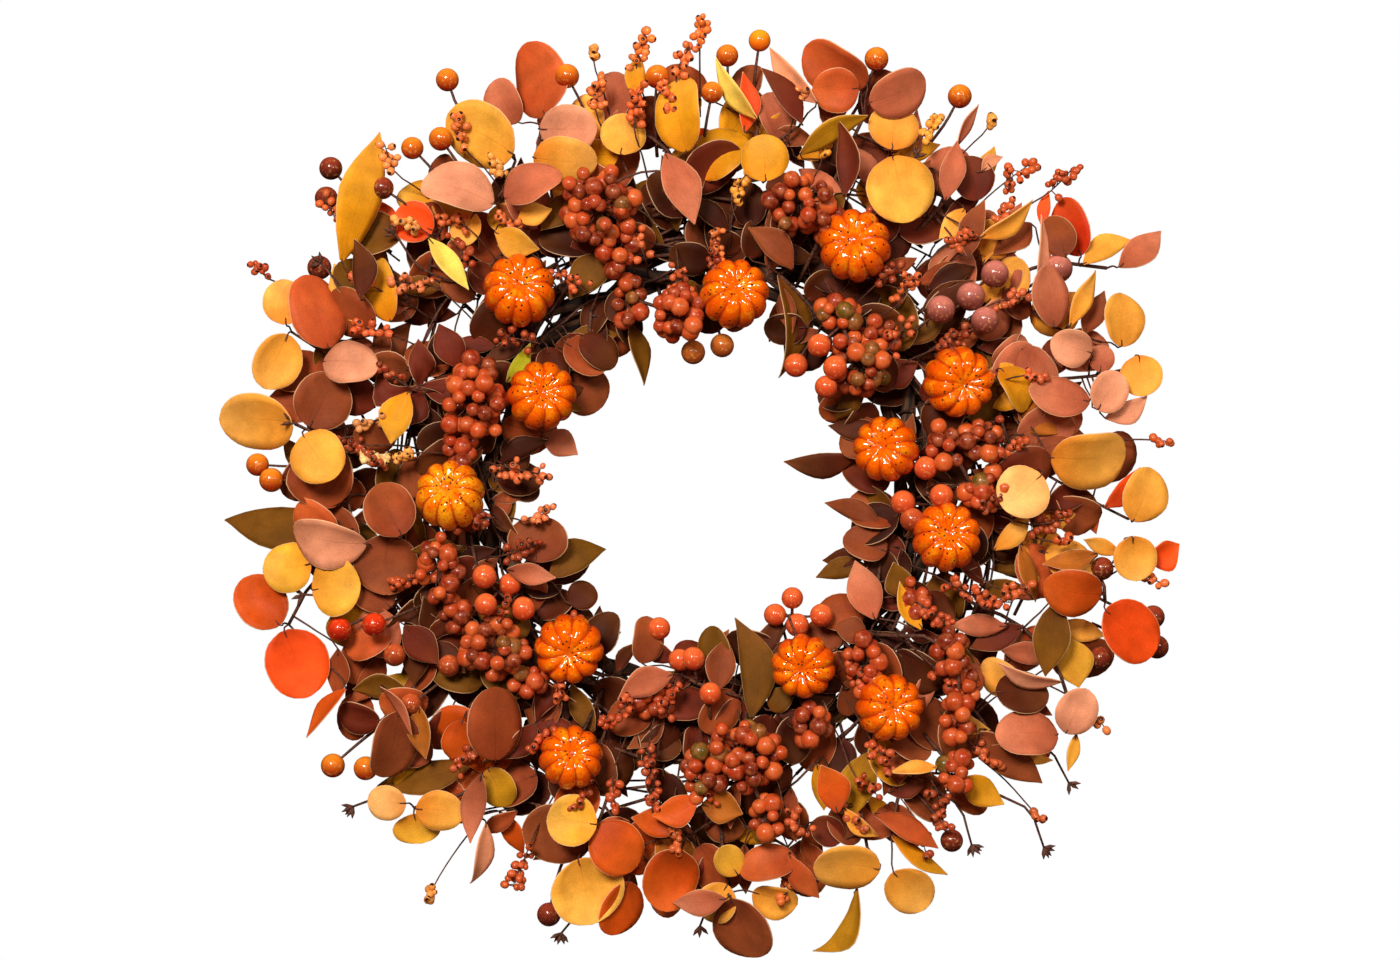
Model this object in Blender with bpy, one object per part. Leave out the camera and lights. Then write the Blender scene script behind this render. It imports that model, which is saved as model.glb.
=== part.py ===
"""Harvest door wreath: a twisted grapevine ring, wire-bound, with leaf sprays, foam pumpkins and berry
picks pushed into it, and a wire hanging loop hinged at the back.

Frame: the wreath hangs in the XZ plane and faces -Y, the door is on the +Y side, +X is right as seen
from the front. The origin is the hook seat, the inside top of the hanging loop.
Sizes and places are in millimetres in this file and are turned into metres once, by MM.
"""
import math

import bmesh
import bpy
from mathutils import Matrix, Vector

MM = 0.001

# Grapevine ring: strands twisted around the ring's own circle
RING_RADIUS = 130.0
VINE_COUNT = 4
VINE_RADIUS = 4.6
VINE_TURNS = 5
VINE_POINTS = 40

# Wire bands that bind the strands, each with a flat at the back that rests on the door
BAND_COUNT = 6
BAND_CLEARANCE = 0.8
BAND_THICKNESS = 1.0
BAND_WIDTH = 6.0
BAND_FLAT_HALF = 7.0
BAND_FLAT_PROUD = 0.3
BAND_SEGMENTS = 14

# Hanging loop and the eye it swings in
LOOP_HEIGHT = 30.0
LOOP_WIDTH = 18.0
LOOP_WIRE = 2.0
LOOP_CORNER = 2.5
LOOP_CORNER_BEND = 0.3
LOOP_ARC_STEPS = 10
EYE_BORE = 3.2
EYE_OUTER = 6.0
EYE_LENGTH = 10.0
EYE_CUT_LENGTH = 14.0
EYE_SEGMENTS = 20
EYE_WALL = 0.75
EYE_ANGLE = 43.3

# Wire stems of the picks
STEM_RADIUS = 1.2
PETIOLE_RADIUS = 0.7
STEM_CLEARANCE = 1.6

# Leaves: fabric plates on petioles
LEAF_THICKNESS = 1.0
LEAF_OVERLAP = 3.0
LEAF_ROLL = 4.0

# The front of the wreath is a dome, deepest over the ring and lower at the rim and the inner edge.
# Its depth is measured from the front of the vines.
FOLIAGE_DEPTH = 23.75
DOME_OUTER = 165.0
DOME_INNER = 112.0
DOME_OUTER_DROP = 0.0017
DOME_INNER_DROP = 0.26

# Pumpkins
PUMPKIN_LOBES = 10
PUMPKIN_ROWS = 5
PUMPKIN_HEIGHT = 0.82
PUMPKIN_GROOVE = 0.07
PUMPKIN_RISE = 8.0

# Berries
BEAD_DIAMETER = 12.5
BEAD_COUNT = 5
HEAD_WRAP = 1.5
CORE_SHARE = 0.72
BIG_BERRY_DIAMETER = 14.0

# The places below are drawn for a ring of this radius and spread with the ring
DRAWN_RING_RADIUS = 130.0

# Worked out from the values above
SPREAD = RING_RADIUS / DRAWN_RING_RADIUS
VINE_ORBIT = (VINE_RADIUS + STEM_RADIUS + STEM_CLEARANCE) / math.sin(math.pi / VINE_COUNT)
BAND_INNER = VINE_ORBIT + VINE_RADIUS + BAND_CLEARANCE
BAND_OUTER = BAND_INNER + BAND_THICKNESS
BAND_FLAT = BAND_OUTER + BAND_FLAT_PROUD
STEM_EXIT = BAND_OUTER + STEM_RADIUS
EYE_REACH = BAND_OUTER + EYE_WALL + EYE_BORE / 2
EYE_UP = EYE_REACH * math.cos(math.radians(EYE_ANGLE))
EYE_BACK = EYE_REACH * math.sin(math.radians(EYE_ANGLE))
RING_Y = -EYE_BACK
RING_FRONT = EYE_BACK + VINE_ORBIT + VINE_RADIUS
DOME_DEPTH = RING_FRONT + FOLIAGE_DEPTH
RING_Z = -LOOP_HEIGHT - EYE_UP - RING_RADIUS

OUTWARD = 15.0
INWARD = 165.0

# Each pumpkin pick: x and z from the ring's centre, diameter, angle on the ring where its wire goes in,
# and how its axis leans right and up, in degrees.
PUMPKIN_PICKS = [
    (20, 109, 41, 11, 8, 14),
    (90, 137, 43, 33, -6, 10),
    (150, 58, 42, 69, 12, -8),
    (108, 19, 39, 80, -14, 6),
    (143, -32, 41, 102, 4, 12),
    (110, -131, 40, 141, 10, 4),
    (60, -107, 38, 153, -8, -6),
    (-75, -160, 38, 205, 6, 16),
    (-76, -97, 41, 218, 2, -10),
    (-145, -8, 41, 267, -4, 20),
    (-92, 50, 41, 295, 10, 8),
    (-105, 111, 43, 316.6, 6, 14),
]

# Each leaf spray: the angle on the ring where its stem goes in, the way it leaves the ring, its stem and
# side twigs as (x, z, layer), and its leaves as (shape, base x, base z, tip x, tip z, width, layer).
# A layer is millimetres in front of the dome, and a twig starts at a point of the stem.
LEAF_SPRAYS = [
    ("spray_top", 6, OUTWARD, (0.55, 0.22, 0.10),
     [[(20, 158, -18), (30, 190, -8), (34, 208, -2)], [(30, 190, -8), (58, 208, -4)]],
     [("lance", 33, 211, 8, 247, 10, 10), ("lance", 26, 204, 25, 240, 13, 2),
      ("lance", 68, 221, 41, 254, 13, 8), ("lance", 59, 208, 36, 243, 14, 14),
      ("round", 38, 174, 36, 202, 28, 14)]),
    ("spray_top_right", 25, OUTWARD, (0.72, 0.36, 0.24),
     [[(68, 150, -22), (82, 184, -8), (96, 214, -2)]],
     [("round", 98, 234, 62, 256, 28, -2), ("round", 93, 230, 66, 228, 26, 5),
      ("round", 99, 221, 131, 236, 26, 10), ("round", 112, 194, 114, 221, 30, 3),
      ("lance", 58, 190, 98, 213, 13, 11), ("lance", 84, 166, 81, 210, 14, 16)]),
    ("spray_upper_right", 41, OUTWARD, (0.86, 0.62, 0.12),
     [[(112, 132, -24), (138, 158, -10), (152, 178, -6)]],
     [("round", 112, 189, 121, 151, 40, 12), ("lance", 143, 164, 150, 199, 15, 8),
      ("round", 163, 165, 155, 191, 25, -2), ("lance", 163, 142, 195, 164, 12, 12),
      ("lance", 156, 131, 166, 165, 15, 5), ("lance", 165, 182, 178, 191, 8, 2),
      ("lance", 151, 197, 167, 222, 6, 0), ("lance", 155, 160, 140, 143, 15, -6)]),
    ("spray_right_upper", 54, OUTWARD, (0.66, 0.24, 0.14),
     [[(134, 104, -24), (178, 118, -14), (205, 128, -8), (240, 126, -4)],
      [(178, 118, -14), (206, 92, -8), (236, 82, -4)]],
     [("round", 224, 133, 212, 167, 21, 0), ("round", 214, 132, 204, 155, 20, 8),
      ("lance", 246, 126, 273, 151, 18, 9), ("lance", 225, 128, 256, 143, 15, 1),
      ("lance", 201, 150, 206, 171, 8, -4), ("lance", 195, 152, 172, 134, 18, -8),
      ("round", 206, 90, 202, 126, 22, 10), ("lance", 216, 91, 233, 124, 12, 5),
      ("round", 246, 79, 249, 111, 25, 11), ("lance", 225, 87, 238, 113, 14, -2),
      ("lance", 197, 115, 197, 156, 8, 5), ("round", 178, 112, 192, 96, 16, -8)]),
    ("spray_right_mid", 74, OUTWARD, (0.76, 0.42, 0.28),
     [[(156, 36, -30), (196, 58, -10), (230, 62, -6), (250, 66, -4)]],
     [("round", 227, 47, 191, 54, 23, 9), ("round", 231, 42, 246, 63, 23, 13),
      ("lance", 237, 37, 262, 50, 14, 4), ("round", 168, 46, 190, 65, 28, -14),
      ("round", 257, 74, 260, 50, 25, 8), ("round", 234, 64, 236, 80, 15, 4),
      ("round", 228, 75, 204, 82, 22, 11)]),
    ("spray_right", 90, OUTWARD, (0.90, 0.56, 0.16),
     [[(160, 4, -26), (196, 8, -6), (204, 14, -4)], [(196, 8, -6), (236, -14, -8), (252, -22, -4)]],
     [("round", 204, 14, 249, 16, 34, 10), ("round", 198, 4, 176, -16, 32, 12),
      ("round", 253, -23, 264, 8, 27, 10), ("lance", 237, -15, 259, 9, 14, 1),
      ("lance", 201, -16, 231, -8, 16, -5), ("lance", 186, 46, 210, 28, 18, -8)]),
    ("spray_right_low", 97, OUTWARD, (0.88, 0.34, 0.10),
     [[(158, -36, -30), (196, -40, -14), (236, -58, -6), (238, -70, -4)]],
     [("round", 234, -66, 200, -60, 28, 10), ("round", 237, -75, 268, -101, 34, 7),
      ("lance", 232, -42, 200, -46, 13, 4), ("round", 252, -32, 256, -58, 26, 12),
      ("lance", 246, -42, 224, -33, 10, 2), ("lance", 262, -45, 282, -37, 18, 3),
      ("lance", 187, -37, 198, -70, 11, -2)]),
    ("spray_lower_right", 108, OUTWARD, (0.55, 0.38, 0.14),
     [[(152, -66, -30), (190, -86, -12), (212, -114, -6), (218, -142, -4)]],
     [("lance", 208, -70, 201, -114, 22, 2), ("lance", 216, -92, 223, -121, 25, -5),
      ("round", 214, -147, 226, -121, 25, 9), ("lance", 221, -148, 216, -170, 8, 4),
      ("lance", 211, -117, 174, -106, 10, 5), ("lance", 189, -85, 158, -97, 16, -8)]),
    ("spray_right_bottom", 127, OUTWARD, (0.52, 0.26, 0.16),
     [[(130, -100, -30), (158, -130, -16), (172, -150, -6)], [(172, -150, -6), (206, -148, -2)]],
     [("round", 173, -123, 205, -124, 24, -2), ("round", 209, -148, 172, -148, 26, 9),
      ("lance", 162, -156, 201, -177, 20, 3), ("lance", 188, -157, 208, -164, 7, -3),
      ("lance", 163, -146, 176, -156, 9, 4)]),
    ("spray_bottom_right", 137, OUTWARD, (0.86, 0.42, 0.14),
     [[(108, -130, -34), (118, -170, -12), (112, -204, -4)], [(118, -170, -12), (152, -172, -6)]],
     [("round", 113, -228, 132, -251, 28, 10), ("lance", 112, -207, 144, -232, 10, 5),
      ("lance", 102, -194, 139, -214, 13, 11), ("lance", 153, -173, 179, -189, 18, 5),
      ("lance", 138, -166, 110, -170, 8, 8), ("round", 112, -151, 135, -160, 18, -8),
      ("lance", 110, -182, 134, -176, 13, -6)]),
    ("spray_bottom_mid_right", 147, OUTWARD, (0.78, 0.50, 0.10),
     [[(82, -140, -30), (90, -172, -12), (98, -214, -4)]],
     [("lance", 80, -192, 70, -164, 20, 12), ("lance", 99, -158, 90, -196, 22, -4),
      ("lance", 84, -190, 105, -208, 10, 6), ("round", 105, -226, 66, -222, 28, 10),
      ("lance", 92, -238, 68, -277, 12, 4), ("round", 84, -210, 66, -200, 18, -8)]),
    ("spray_bottom", 173, OUTWARD, (0.60, 0.24, 0.10),
     [[(20, -158, -24), (12, -196, -10), (18, -242, -4)], [(12, -196, -10), (48, -212, -4), (56, -219, 0)],
      [(12, -196, -10), (-8, -208, -4)]],
     [("round", 18, -244, 34, -281, 32, 6), ("round", 56, -220, 23, -227, 20, 9),
      ("lance", 52, -217, 70, -243, 14, 13), ("round", 31, -240, 57, -249, 21, 4),
      ("round", -12, -214, -22, -250, 33, 8), ("lance", 15, -243, -16, -245, 16, 13),
      ("round", 16, -236, 3, -258, 24, 0), ("lance", -1, -184, -28, -194, 18, 8),
      ("lance", 1, -188, 25, -193, 20, 5), ("round", 22, -229, 12, -212, 18, 9)]),
    ("spray_bottom_left", 196, OUTWARD, (0.84, 0.56, 0.14),
     [[(-46, -158, -24), (-56, -190, -10), (-66, -216, -4)], [(-56, -190, -10), (-38, -216, -6)]],
     [("round", -60, -199, -89, -196, 30, 10), ("round", -62, -208, -104, -203, 36, -4),
      ("round", -71, -220, -62, -258, 43, 9), ("round", -42, -234, -52, -267, 24, 2),
      ("round", -60, -201, -38, -226, 32, 5), ("lance", -14, -205, -40, -196, 17, 2)]),
    ("spray_left_bottom", 213, OUTWARD, (0.66, 0.30, 0.16),
     [[(-92, -138, -30), (-118, -164, -14), (-130, -178, -8), (-168, -192, -4)],
      [(-130, -178, -8), (-128, -198, -4)]],
     [("round", -119, -162, -120, -119, 31, 7), ("round", -166, -191, -138, -194, 24, 9),
      ("round", -172, -188, -196, -188, 21, 8), ("round", -168, -195, -164, -213, 29, 1),
      ("lance", -127, -170, -134, -211, 15, 12), ("lance", -125, -200, -131, -238, 11, 5),
      ("round", -124, -168, -112, -190, 21, -4), ("lance", -134, -166, -193, -177, 19, -12)]),
    ("spray_lower_left", 233, OUTWARD, (0.48, 0.22, 0.14),
     [[(-130, -92, -30), (-160, -112, -14), (-176, -130, -6)]],
     [("round", -175, -134, -184, -174, 27, 7), ("lance", -164, -131, -160, -162, 14, 3),
      ("lance", -186, -119, -170, -149, 6, 12), ("lance", -172, -122, -205, -124, 15, -8),
      ("round", -177, -81, -199, -96, 30, -4), ("lance", -172, -84, -152, -106, 20, 5)]),
    ("spray_left_low", 259, OUTWARD, (0.80, 0.48, 0.16),
     [[(-156, -26, -30), (-188, -40, -10), (-224, -56, -6), (-242, -84, -4)]],
     [("round", -173, -31, -186, -1, 30, 12), ("round", -182, -31, -183, -66, 38, 0),
      ("round", -194, -36, -239, -30, 27, 8), ("lance", -212, -24, -285, -17, 26, -10),
      ("round", -227, -48, -256, -52, 30, 6), ("round", -226, -63, -198, -59, 35, 9),
      ("round", -246, -84, -269, -57, 30, 7), ("round", -243, -87, -229, -126, 37, 10),
      ("lance", -212, -98, -214, -127, 14, -1), ("lance", -207, -121, -230, -151, 9, 4)]),
    ("spray_left", 281, OUTWARD, (0.88, 0.54, 0.18),
     [[(-158, 28, -28), (-196, 34, -14), (-228, 30, -8), (-238, 34, -4)],
      [(-196, 34, -14), (-218, 72, -8), (-240, 88, -2)]],
     [("round", -228, 32, -213, 63, 34, 3), ("round", -238, 34, -282, 36, 33, 7),
      ("round", -231, 27, -212, 2, 33, 11), ("round", -228, 20, -213, -13, 40, -8),
      ("round", -217, 78, -232, 121, 30, 5), ("round", -242, 92, -244, 119, 25, 10),
      ("round", -241, 86, -254, 54, 27, 9), ("round", -219, 70, -187, 66, 25, 11)]),
    ("spray_upper_left", 307, OUTWARD, (0.90, 0.60, 0.14),
     [[(-132, 98, -28), (-160, 120, -16), (-196, 104, -8)],
      [(-160, 120, -16), (-152, 148, -8), (-120, 164, -6), (-108, 188, -4)]],
     [("lance", -209, 129, -187, 205, 26, 10), ("lance", -201, 93, -215, 128, 19, -4),
      ("round", -181, 94, -190, 131, 20, -2), ("lance", -197, 107, -200, 141, 16, 16),
      ("round", -109, 191, -149, 214, 35, 7), ("round", -120, 161, -162, 172, 28, 12),
      ("round", -132, 157, -142, 138, 18, 0), ("round", -156, 147, -180, 156, 25, -1),
      ("lance", -184, 147, -191, 167, 14, -10), ("lance", -157, 141, -133, 112, 13, 15)]),
    ("spray_top_left", 325, OUTWARD, (0.80, 0.46, 0.32),
     [[(-88, 150, -22), (-96, 184, -8), (-92, 212, -2)]],
     [("round", -91, 214, -104, 259, 32, 0), ("round", -93, 205, -60, 205, 29, 11),
      ("round", -97, 189, -60, 186, 27, 3), ("round", -113, 164, -81, 180, 23, 13),
      ("lance", -106, 152, -86, 158, 14, 5), ("lance", -119, 145, -93, 135, 18, 10),
      ("lance", -68, 166, -94, 148, 18, -3)]),
    ("spray_top_mid_left", 354, OUTWARD, (0.82, 0.52, 0.14),
     [[(-20, 158, -18), (-14, 186, -8), (-34, 206, -6)]],
     [("round", -46, 191, -44, 215, 27, -1), ("round", -8, 192, -13, 237, 27, 6),
      ("lance", -20, 190, -3, 149, 22, 14), ("round", -8, 172, 23, 195, 26, -3),
      ("lance", -38, 225, -34, 250, 13, 3)]),
    ("spray_inner_top_left", 303.5, INWARD, (0.44, 0.30, 0.08),
     [[(-86, 74, -28), (-68, 78, -14), (-64, 100, -12)]],
     [("lance", -80, 80, -48, 87, 16, -12), ("lance", -50, 132, -76, 106, 22, -5),
      ("lance", -41, 93, -30, 57, 12, -8), ("round", -77, 62, -57, 44, 30, -16),
      ("lance", -92, 27, -72, 16, 17, -8)]),
    ("spray_inner_left", 247, INWARD, (0.46, 0.24, 0.12),
     [[(-104, -52, -22), (-92, -54, -8)]],
     [("lance", -114, -30, -112, 3, 13, -14), ("round", -96, -47, -92, -20, 36, 0),
      ("lance", -112, -51, -84, -56, 13, 8), ("lance", -88, -56, -55, -39, 20, -4),
      ("round", -76, -72, -62, -62, 18, -12)]),
    ("spray_inner_right", 46, INWARD, (0.40, 0.28, 0.06),
     [[(76, 88, -20), (64, 104, -16), (46, 122, -10)], [(76, 88, -20), (106, 76, -14)]],
     [("lance", 46, 121, 48, 61, 17, -10), ("lance", 54, 124, 28, 148, 17, 3),
      ("round", 100, 114, 122, 78, 30, -14), ("lance", 104, 60, 128, 70, 18, -12)]),
    ("spray_inner_lower_right", 113, INWARD, (0.44, 0.22, 0.12),
     [[(106, -44, -22), (104, -62, -10), (104, -80, -6)], [(106, -44, -22), (104, -12, -18), (99, 15, -14)]],
     [("lance", 93, 16, 50, 12, 15, -14), ("lance", 106, -25, 74, -12, 13, -12),
      ("round", 112, -52, 104, -31, 26, -16),
      ("lance", 102, -80, 90, -46, 21, 0), ("lance", 124, -68, 113, -47, 17, -6),
      ("lance", 129, -86, 116, -58, 11, 5), ("lance", 98, -92, 78, -84, 16, -10)]),
    ("spray_inner_bottom", 187, INWARD, (0.42, 0.24, 0.10),
     [[(-14, -108, -24), (-6, -116, -8), (24, -126, -8)]],
     [("lance", -16, -112, -48, -126, 18, 7), ("lance", 10, -122, 16, -91, 18, 0),
      ("round", 6, -130, -25, -130, 20, -6), ("lance", 30, -138, 21, -80, 22, -4),
      ("round", 42, -134, 52, -122, 14, -8), ("round", -34, -106, -31, -79, 19, -4)]),
]

# Each berry pick: the angle on the ring, and its heads as (x, z, width, height, rise).
BERRY_PICKS = [
    ("berry_pick_top_right", 19, [(58, 161, 42, 38, 10)]),
    ("berry_pick_inner_right", 52, [(92, 68, 38, 38, 6), (80, 98, 30, 26, 6)]),
    ("berry_pick_right", 84, [(142, 20, 24, 30, 10), (160, -6, 22, 24, 4)]),
    ("berry_pick_lower_right", 132, [(145, -98, 24, 30, 10), (150, -136, 24, 36, 8)]),
    ("berry_pick_bottom", 168, [(26, -158, 46, 40, 10), (38, -194, 24, 34, 10)]),
    ("berry_pick_lower_left", 229, [(-120, -97, 42, 34, 10)]),
    ("berry_pick_left", 251.5, [(-152, -50, 28, 44, 8)]),
    ("berry_pick_upper_left", 288, [(-131, 47, 38, 48, 10)]),
    ("berry_pick_top_left", 340, [(-58, 159, 44, 46, 10)]),
    ("berry_pick_top", 348, [(-13, 99, 34, 38, 4), (-41, 107, 22, 32, 0)]),
]

# Each rosehip pick: the angle on the ring, the point where it forks, and its berries, as (x, z, rise).
ROSEHIP_PICKS = [
    ("rosehip_pick_left", 242.8, (-118, -64, -2), [(-125, -55, 10), (-111, -60, -2), (-124, -71, 14),
                                                   (-103, -74, 2)]),
    ("rosehip_pick_bottom", 161, (54, -78, -12), [(54, -68, -6), (44, -78, -10), (71, -78, -6),
                                                  (57, -84, -10)]),
]


def clear_scene():
    for old in list(bpy.data.objects):
        bpy.data.objects.remove(old, do_unlink=True)


def new_collection(name):
    collection = bpy.data.collections.new(name)
    bpy.context.scene.collection.children.link(collection)
    return collection


def new_material(name, colour, roughness, metallic=0.0):
    material = bpy.data.materials.new(name)
    material.use_nodes = True
    shader = material.node_tree.nodes["Principled BSDF"]
    shader.inputs["Base Color"].default_value = (*colour, 1.0)
    shader.inputs["Roughness"].default_value = roughness
    shader.inputs["Metallic"].default_value = metallic
    material.diffuse_color = (*colour, 1.0)
    return material


def ring_point(angle, radial=0.0, forward=0.0):
    """A point near the ring: clockwise angle from the top in degrees, then offsets in its cross-section."""
    turn = math.radians(angle)
    reach = RING_RADIUS + radial
    return Vector((reach * math.sin(turn), RING_Y - forward, RING_Z + reach * math.cos(turn))) * MM


def front_point(x, z, rise):
    """A point drawn from the ring's centre, in front of the dome's top by a rise."""
    return Vector((x * SPREAD, -DOME_DEPTH - rise, RING_Z + z * SPREAD)) * MM


def dome_point(x, z, layer):
    """A point on the dome of foliage, or a layer in front of it."""
    reach = math.hypot(x, z)
    outer = max(0.0, reach - DOME_OUTER)
    inner = max(0.0, DOME_INNER - reach)
    return front_point(x, z, layer - DOME_OUTER_DROP * outer * outer - DOME_INNER_DROP * inner)


def through_gap(angle, toward):
    """The start of a stem: from the hollow core, out between the two strands nearest to its way."""
    pitch = 360.0 / VINE_COUNT
    first = pitch / 2 + VINE_TURNS * angle
    way = first + pitch * round((toward - first) / pitch)
    side, front = math.cos(math.radians(way)), math.sin(math.radians(way))
    return [ring_point(angle), ring_point(angle, STEM_EXIT * side, STEM_EXIT * front)]


def way_to(angle, target):
    """The direction in the ring's cross-section, in degrees from outward to front, toward a point."""
    turn = math.radians(angle)
    offset = target / MM - ring_point(angle) / MM
    outward = offset.x * math.sin(turn) + offset.z * math.cos(turn)
    return math.degrees(math.atan2(-offset.y, outward))


def curve_mesh(lines, radius, cyclic=False, resolution=1):
    """A closed mesh of round wires, one along each line of points."""
    curve = bpy.data.curves.new("wire", "CURVE")
    curve.dimensions = "3D"
    curve.bevel_depth = radius * MM
    curve.bevel_resolution = resolution
    curve.use_fill_caps = True
    for points in lines:
        spline = curve.splines.new("POLY")
        spline.points.add(len(points) - 1)
        spline.use_cyclic_u = cyclic
        for place, point in zip(spline.points, points):
            place.co = (*point, 1.0)
    return welded_mesh(curve)


def outline_mesh(outlines, thickness):
    """A closed flat mesh: the first outline filled, any others cut out of it."""
    curve = bpy.data.curves.new("outline", "CURVE")
    curve.dimensions = "2D"
    curve.fill_mode = "BOTH"
    curve.extrude = thickness / 2
    for points in outlines:
        spline = curve.splines.new("POLY")
        spline.points.add(len(points) - 1)
        spline.use_cyclic_u = True
        for place, (x, y) in zip(spline.points, points):
            place.co = (x, y, 0.0, 1.0)
    return welded_mesh(curve)


def welded_mesh(curve):
    """The curve's evaluated mesh, with its loose caps welded on."""
    drawn = bpy.data.objects.new("drawn", curve)
    bpy.context.scene.collection.objects.link(drawn)
    ready = drawn.evaluated_get(bpy.context.evaluated_depsgraph_get())
    mesh = bpy.data.meshes.new_from_object(ready)
    bpy.data.objects.remove(drawn, do_unlink=True)
    bpy.data.curves.remove(curve)
    shape = bmesh.new()
    shape.from_mesh(mesh)
    bmesh.ops.remove_doubles(shape, verts=shape.verts, dist=1e-6)
    shape.to_mesh(mesh)
    shape.free()
    return mesh


def joined_mesh(pieces):
    """One mesh from (mesh, matrix) pairs, still separate bodies."""
    shape = bmesh.new()
    for mesh, matrix in pieces:
        part = mesh.copy()
        part.transform(matrix)
        shape.from_mesh(part)
        bpy.data.meshes.remove(part)
    joined = bpy.data.meshes.new("joined")
    shape.to_mesh(joined)
    shape.free()
    return joined


def add_part(name, mesh, material, smooth=False):
    part = bpy.data.objects.new(name, mesh)
    mesh.name = name
    mesh.materials.clear()
    mesh.materials.append(material)
    if smooth:
        mesh.shade_smooth()
        mesh.set_sharp_from_angle(angle=math.radians(40))
    parts.objects.link(part)
    return part


def add_boolean(part, mesh, operation):
    """Joins a mesh to a part, or cuts it away, with a hidden cutter."""
    cutter = bpy.data.objects.new(f"{part.name}_{operation.lower()}", mesh)
    cutter.hide_render = True
    cutter.display_type = "WIRE"
    cutters.objects.link(cutter)
    modifier = part.modifiers.new(operation.title(), "BOOLEAN")
    modifier.operation = operation
    modifier.solver = "EXACT"
    modifier.use_self = True
    modifier.object = cutter


def build_vines():
    for strand in range(VINE_COUNT):
        points = []
        for step in range(VINE_POINTS):
            angle = 360.0 * step / VINE_POINTS
            phase = math.radians(360.0 * strand / VINE_COUNT + VINE_TURNS * angle)
            points.append(ring_point(angle, VINE_ORBIT * math.cos(phase), VINE_ORBIT * math.sin(phase)))
        mesh = curve_mesh([points], VINE_RADIUS, cyclic=True)
        add_part(f"grapevine_strand_{strand + 1}", mesh, bark, smooth=True)


def band_outline():
    """The D of a band, in (radial, back) millimetres: round, with a flat standing proud at the back."""
    corner = math.asin(BAND_FLAT_HALF / BAND_OUTER)
    span = 2 * math.pi - 2 * corner
    start = math.pi / 2 + corner
    outer = [(BAND_OUTER * math.cos(start + span * step / BAND_SEGMENTS),
              BAND_OUTER * math.sin(start + span * step / BAND_SEGMENTS)) for step in range(BAND_SEGMENTS + 1)]
    outer += [(BAND_FLAT_HALF, BAND_FLAT), (-BAND_FLAT_HALF, BAND_FLAT)]
    inner = [(BAND_INNER * math.cos(2 * math.pi * step / BAND_SEGMENTS),
              BAND_INNER * math.sin(2 * math.pi * step / BAND_SEGMENTS)) for step in range(BAND_SEGMENTS)]
    return outer, inner


def build_bands():
    outer, inner = band_outline()
    for number in range(BAND_COUNT):
        angle = 360.0 * number / BAND_COUNT
        turn = math.radians(angle)
        radial = Vector((math.sin(turn), 0, math.cos(turn)))
        back = Vector((0, 1, 0))
        frame = Matrix((radial, back, radial.cross(back))).transposed().to_4x4()
        frame.translation = ring_point(angle)
        mesh = outline_mesh([outer, inner], BAND_WIDTH)
        mesh.transform(frame @ Matrix.Scale(MM, 4))
        name = f"wire_band_{number}" if number else "hanger_anchor"
        band = add_part(name, mesh, binding_wire)
        if number == 0:
            add_eye(band)


def x_cylinder(diameter, length):
    """A round bar along X, centred on the loop's hinge axis."""
    shape = bmesh.new()
    bmesh.ops.create_cone(shape, cap_ends=True, segments=EYE_SEGMENTS, radius1=diameter / 2 * MM,
                          radius2=diameter / 2 * MM, depth=length * MM)
    mesh = bpy.data.meshes.new("bar")
    shape.to_mesh(mesh)
    shape.free()
    mesh.transform(Matrix.Translation((0, 0, -LOOP_HEIGHT * MM)) @ Matrix.Rotation(math.pi / 2, 4, "Y"))
    return mesh


def add_eye(band):
    add_boolean(band, x_cylinder(EYE_OUTER, EYE_LENGTH), "UNION")
    add_boolean(band, x_cylinder(EYE_BORE, EYE_CUT_LENGTH), "DIFFERENCE")


def build_loop():
    """The loop stands up from its bar, which lies in the eye; its inside top is the origin."""
    half = LOOP_WIDTH / 2
    arc_centre = LOOP_WIRE / 2 - half
    bend = LOOP_CORNER_BEND * LOOP_CORNER
    points = [(-half + LOOP_CORNER, -LOOP_HEIGHT), (half - LOOP_CORNER, -LOOP_HEIGHT),
              (half - bend, -LOOP_HEIGHT + bend), (half, -LOOP_HEIGHT + LOOP_CORNER)]
    for step in range(LOOP_ARC_STEPS + 1):
        turn = math.pi * step / LOOP_ARC_STEPS
        points.append((half * math.cos(turn), arc_centre + half * math.sin(turn)))
    points += [(-half, -LOOP_HEIGHT + LOOP_CORNER), (-half + bend, -LOOP_HEIGHT + bend)]
    pivot = Vector((0, 0, -LOOP_HEIGHT * MM))
    route = [Vector((x, 0, z)) * MM - pivot for x, z in points]
    loop = add_part("hanging_loop", curve_mesh([route], LOOP_WIRE / 2, cyclic=True, resolution=2),
                    binding_wire, smooth=True)
    loop.location = pivot


def pumpkin_mesh(diameter):
    """A lobed, slightly flat ball with its axis along Z, in metres."""
    shape = bmesh.new()
    bmesh.ops.create_uvsphere(shape, u_segments=2 * PUMPKIN_LOBES, v_segments=PUMPKIN_ROWS,
                              radius=diameter / 2 * MM)
    for vertex in shape.verts:
        turn = math.atan2(vertex.co.y, vertex.co.x)
        groove = PUMPKIN_GROOVE * (1 - math.cos(PUMPKIN_LOBES * turn)) / 2
        vertex.co.x *= 1 - groove
        vertex.co.y *= 1 - groove
        vertex.co.z *= PUMPKIN_HEIGHT
    mesh = bpy.data.meshes.new("pumpkin")
    shape.to_mesh(mesh)
    shape.free()
    return mesh


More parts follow.
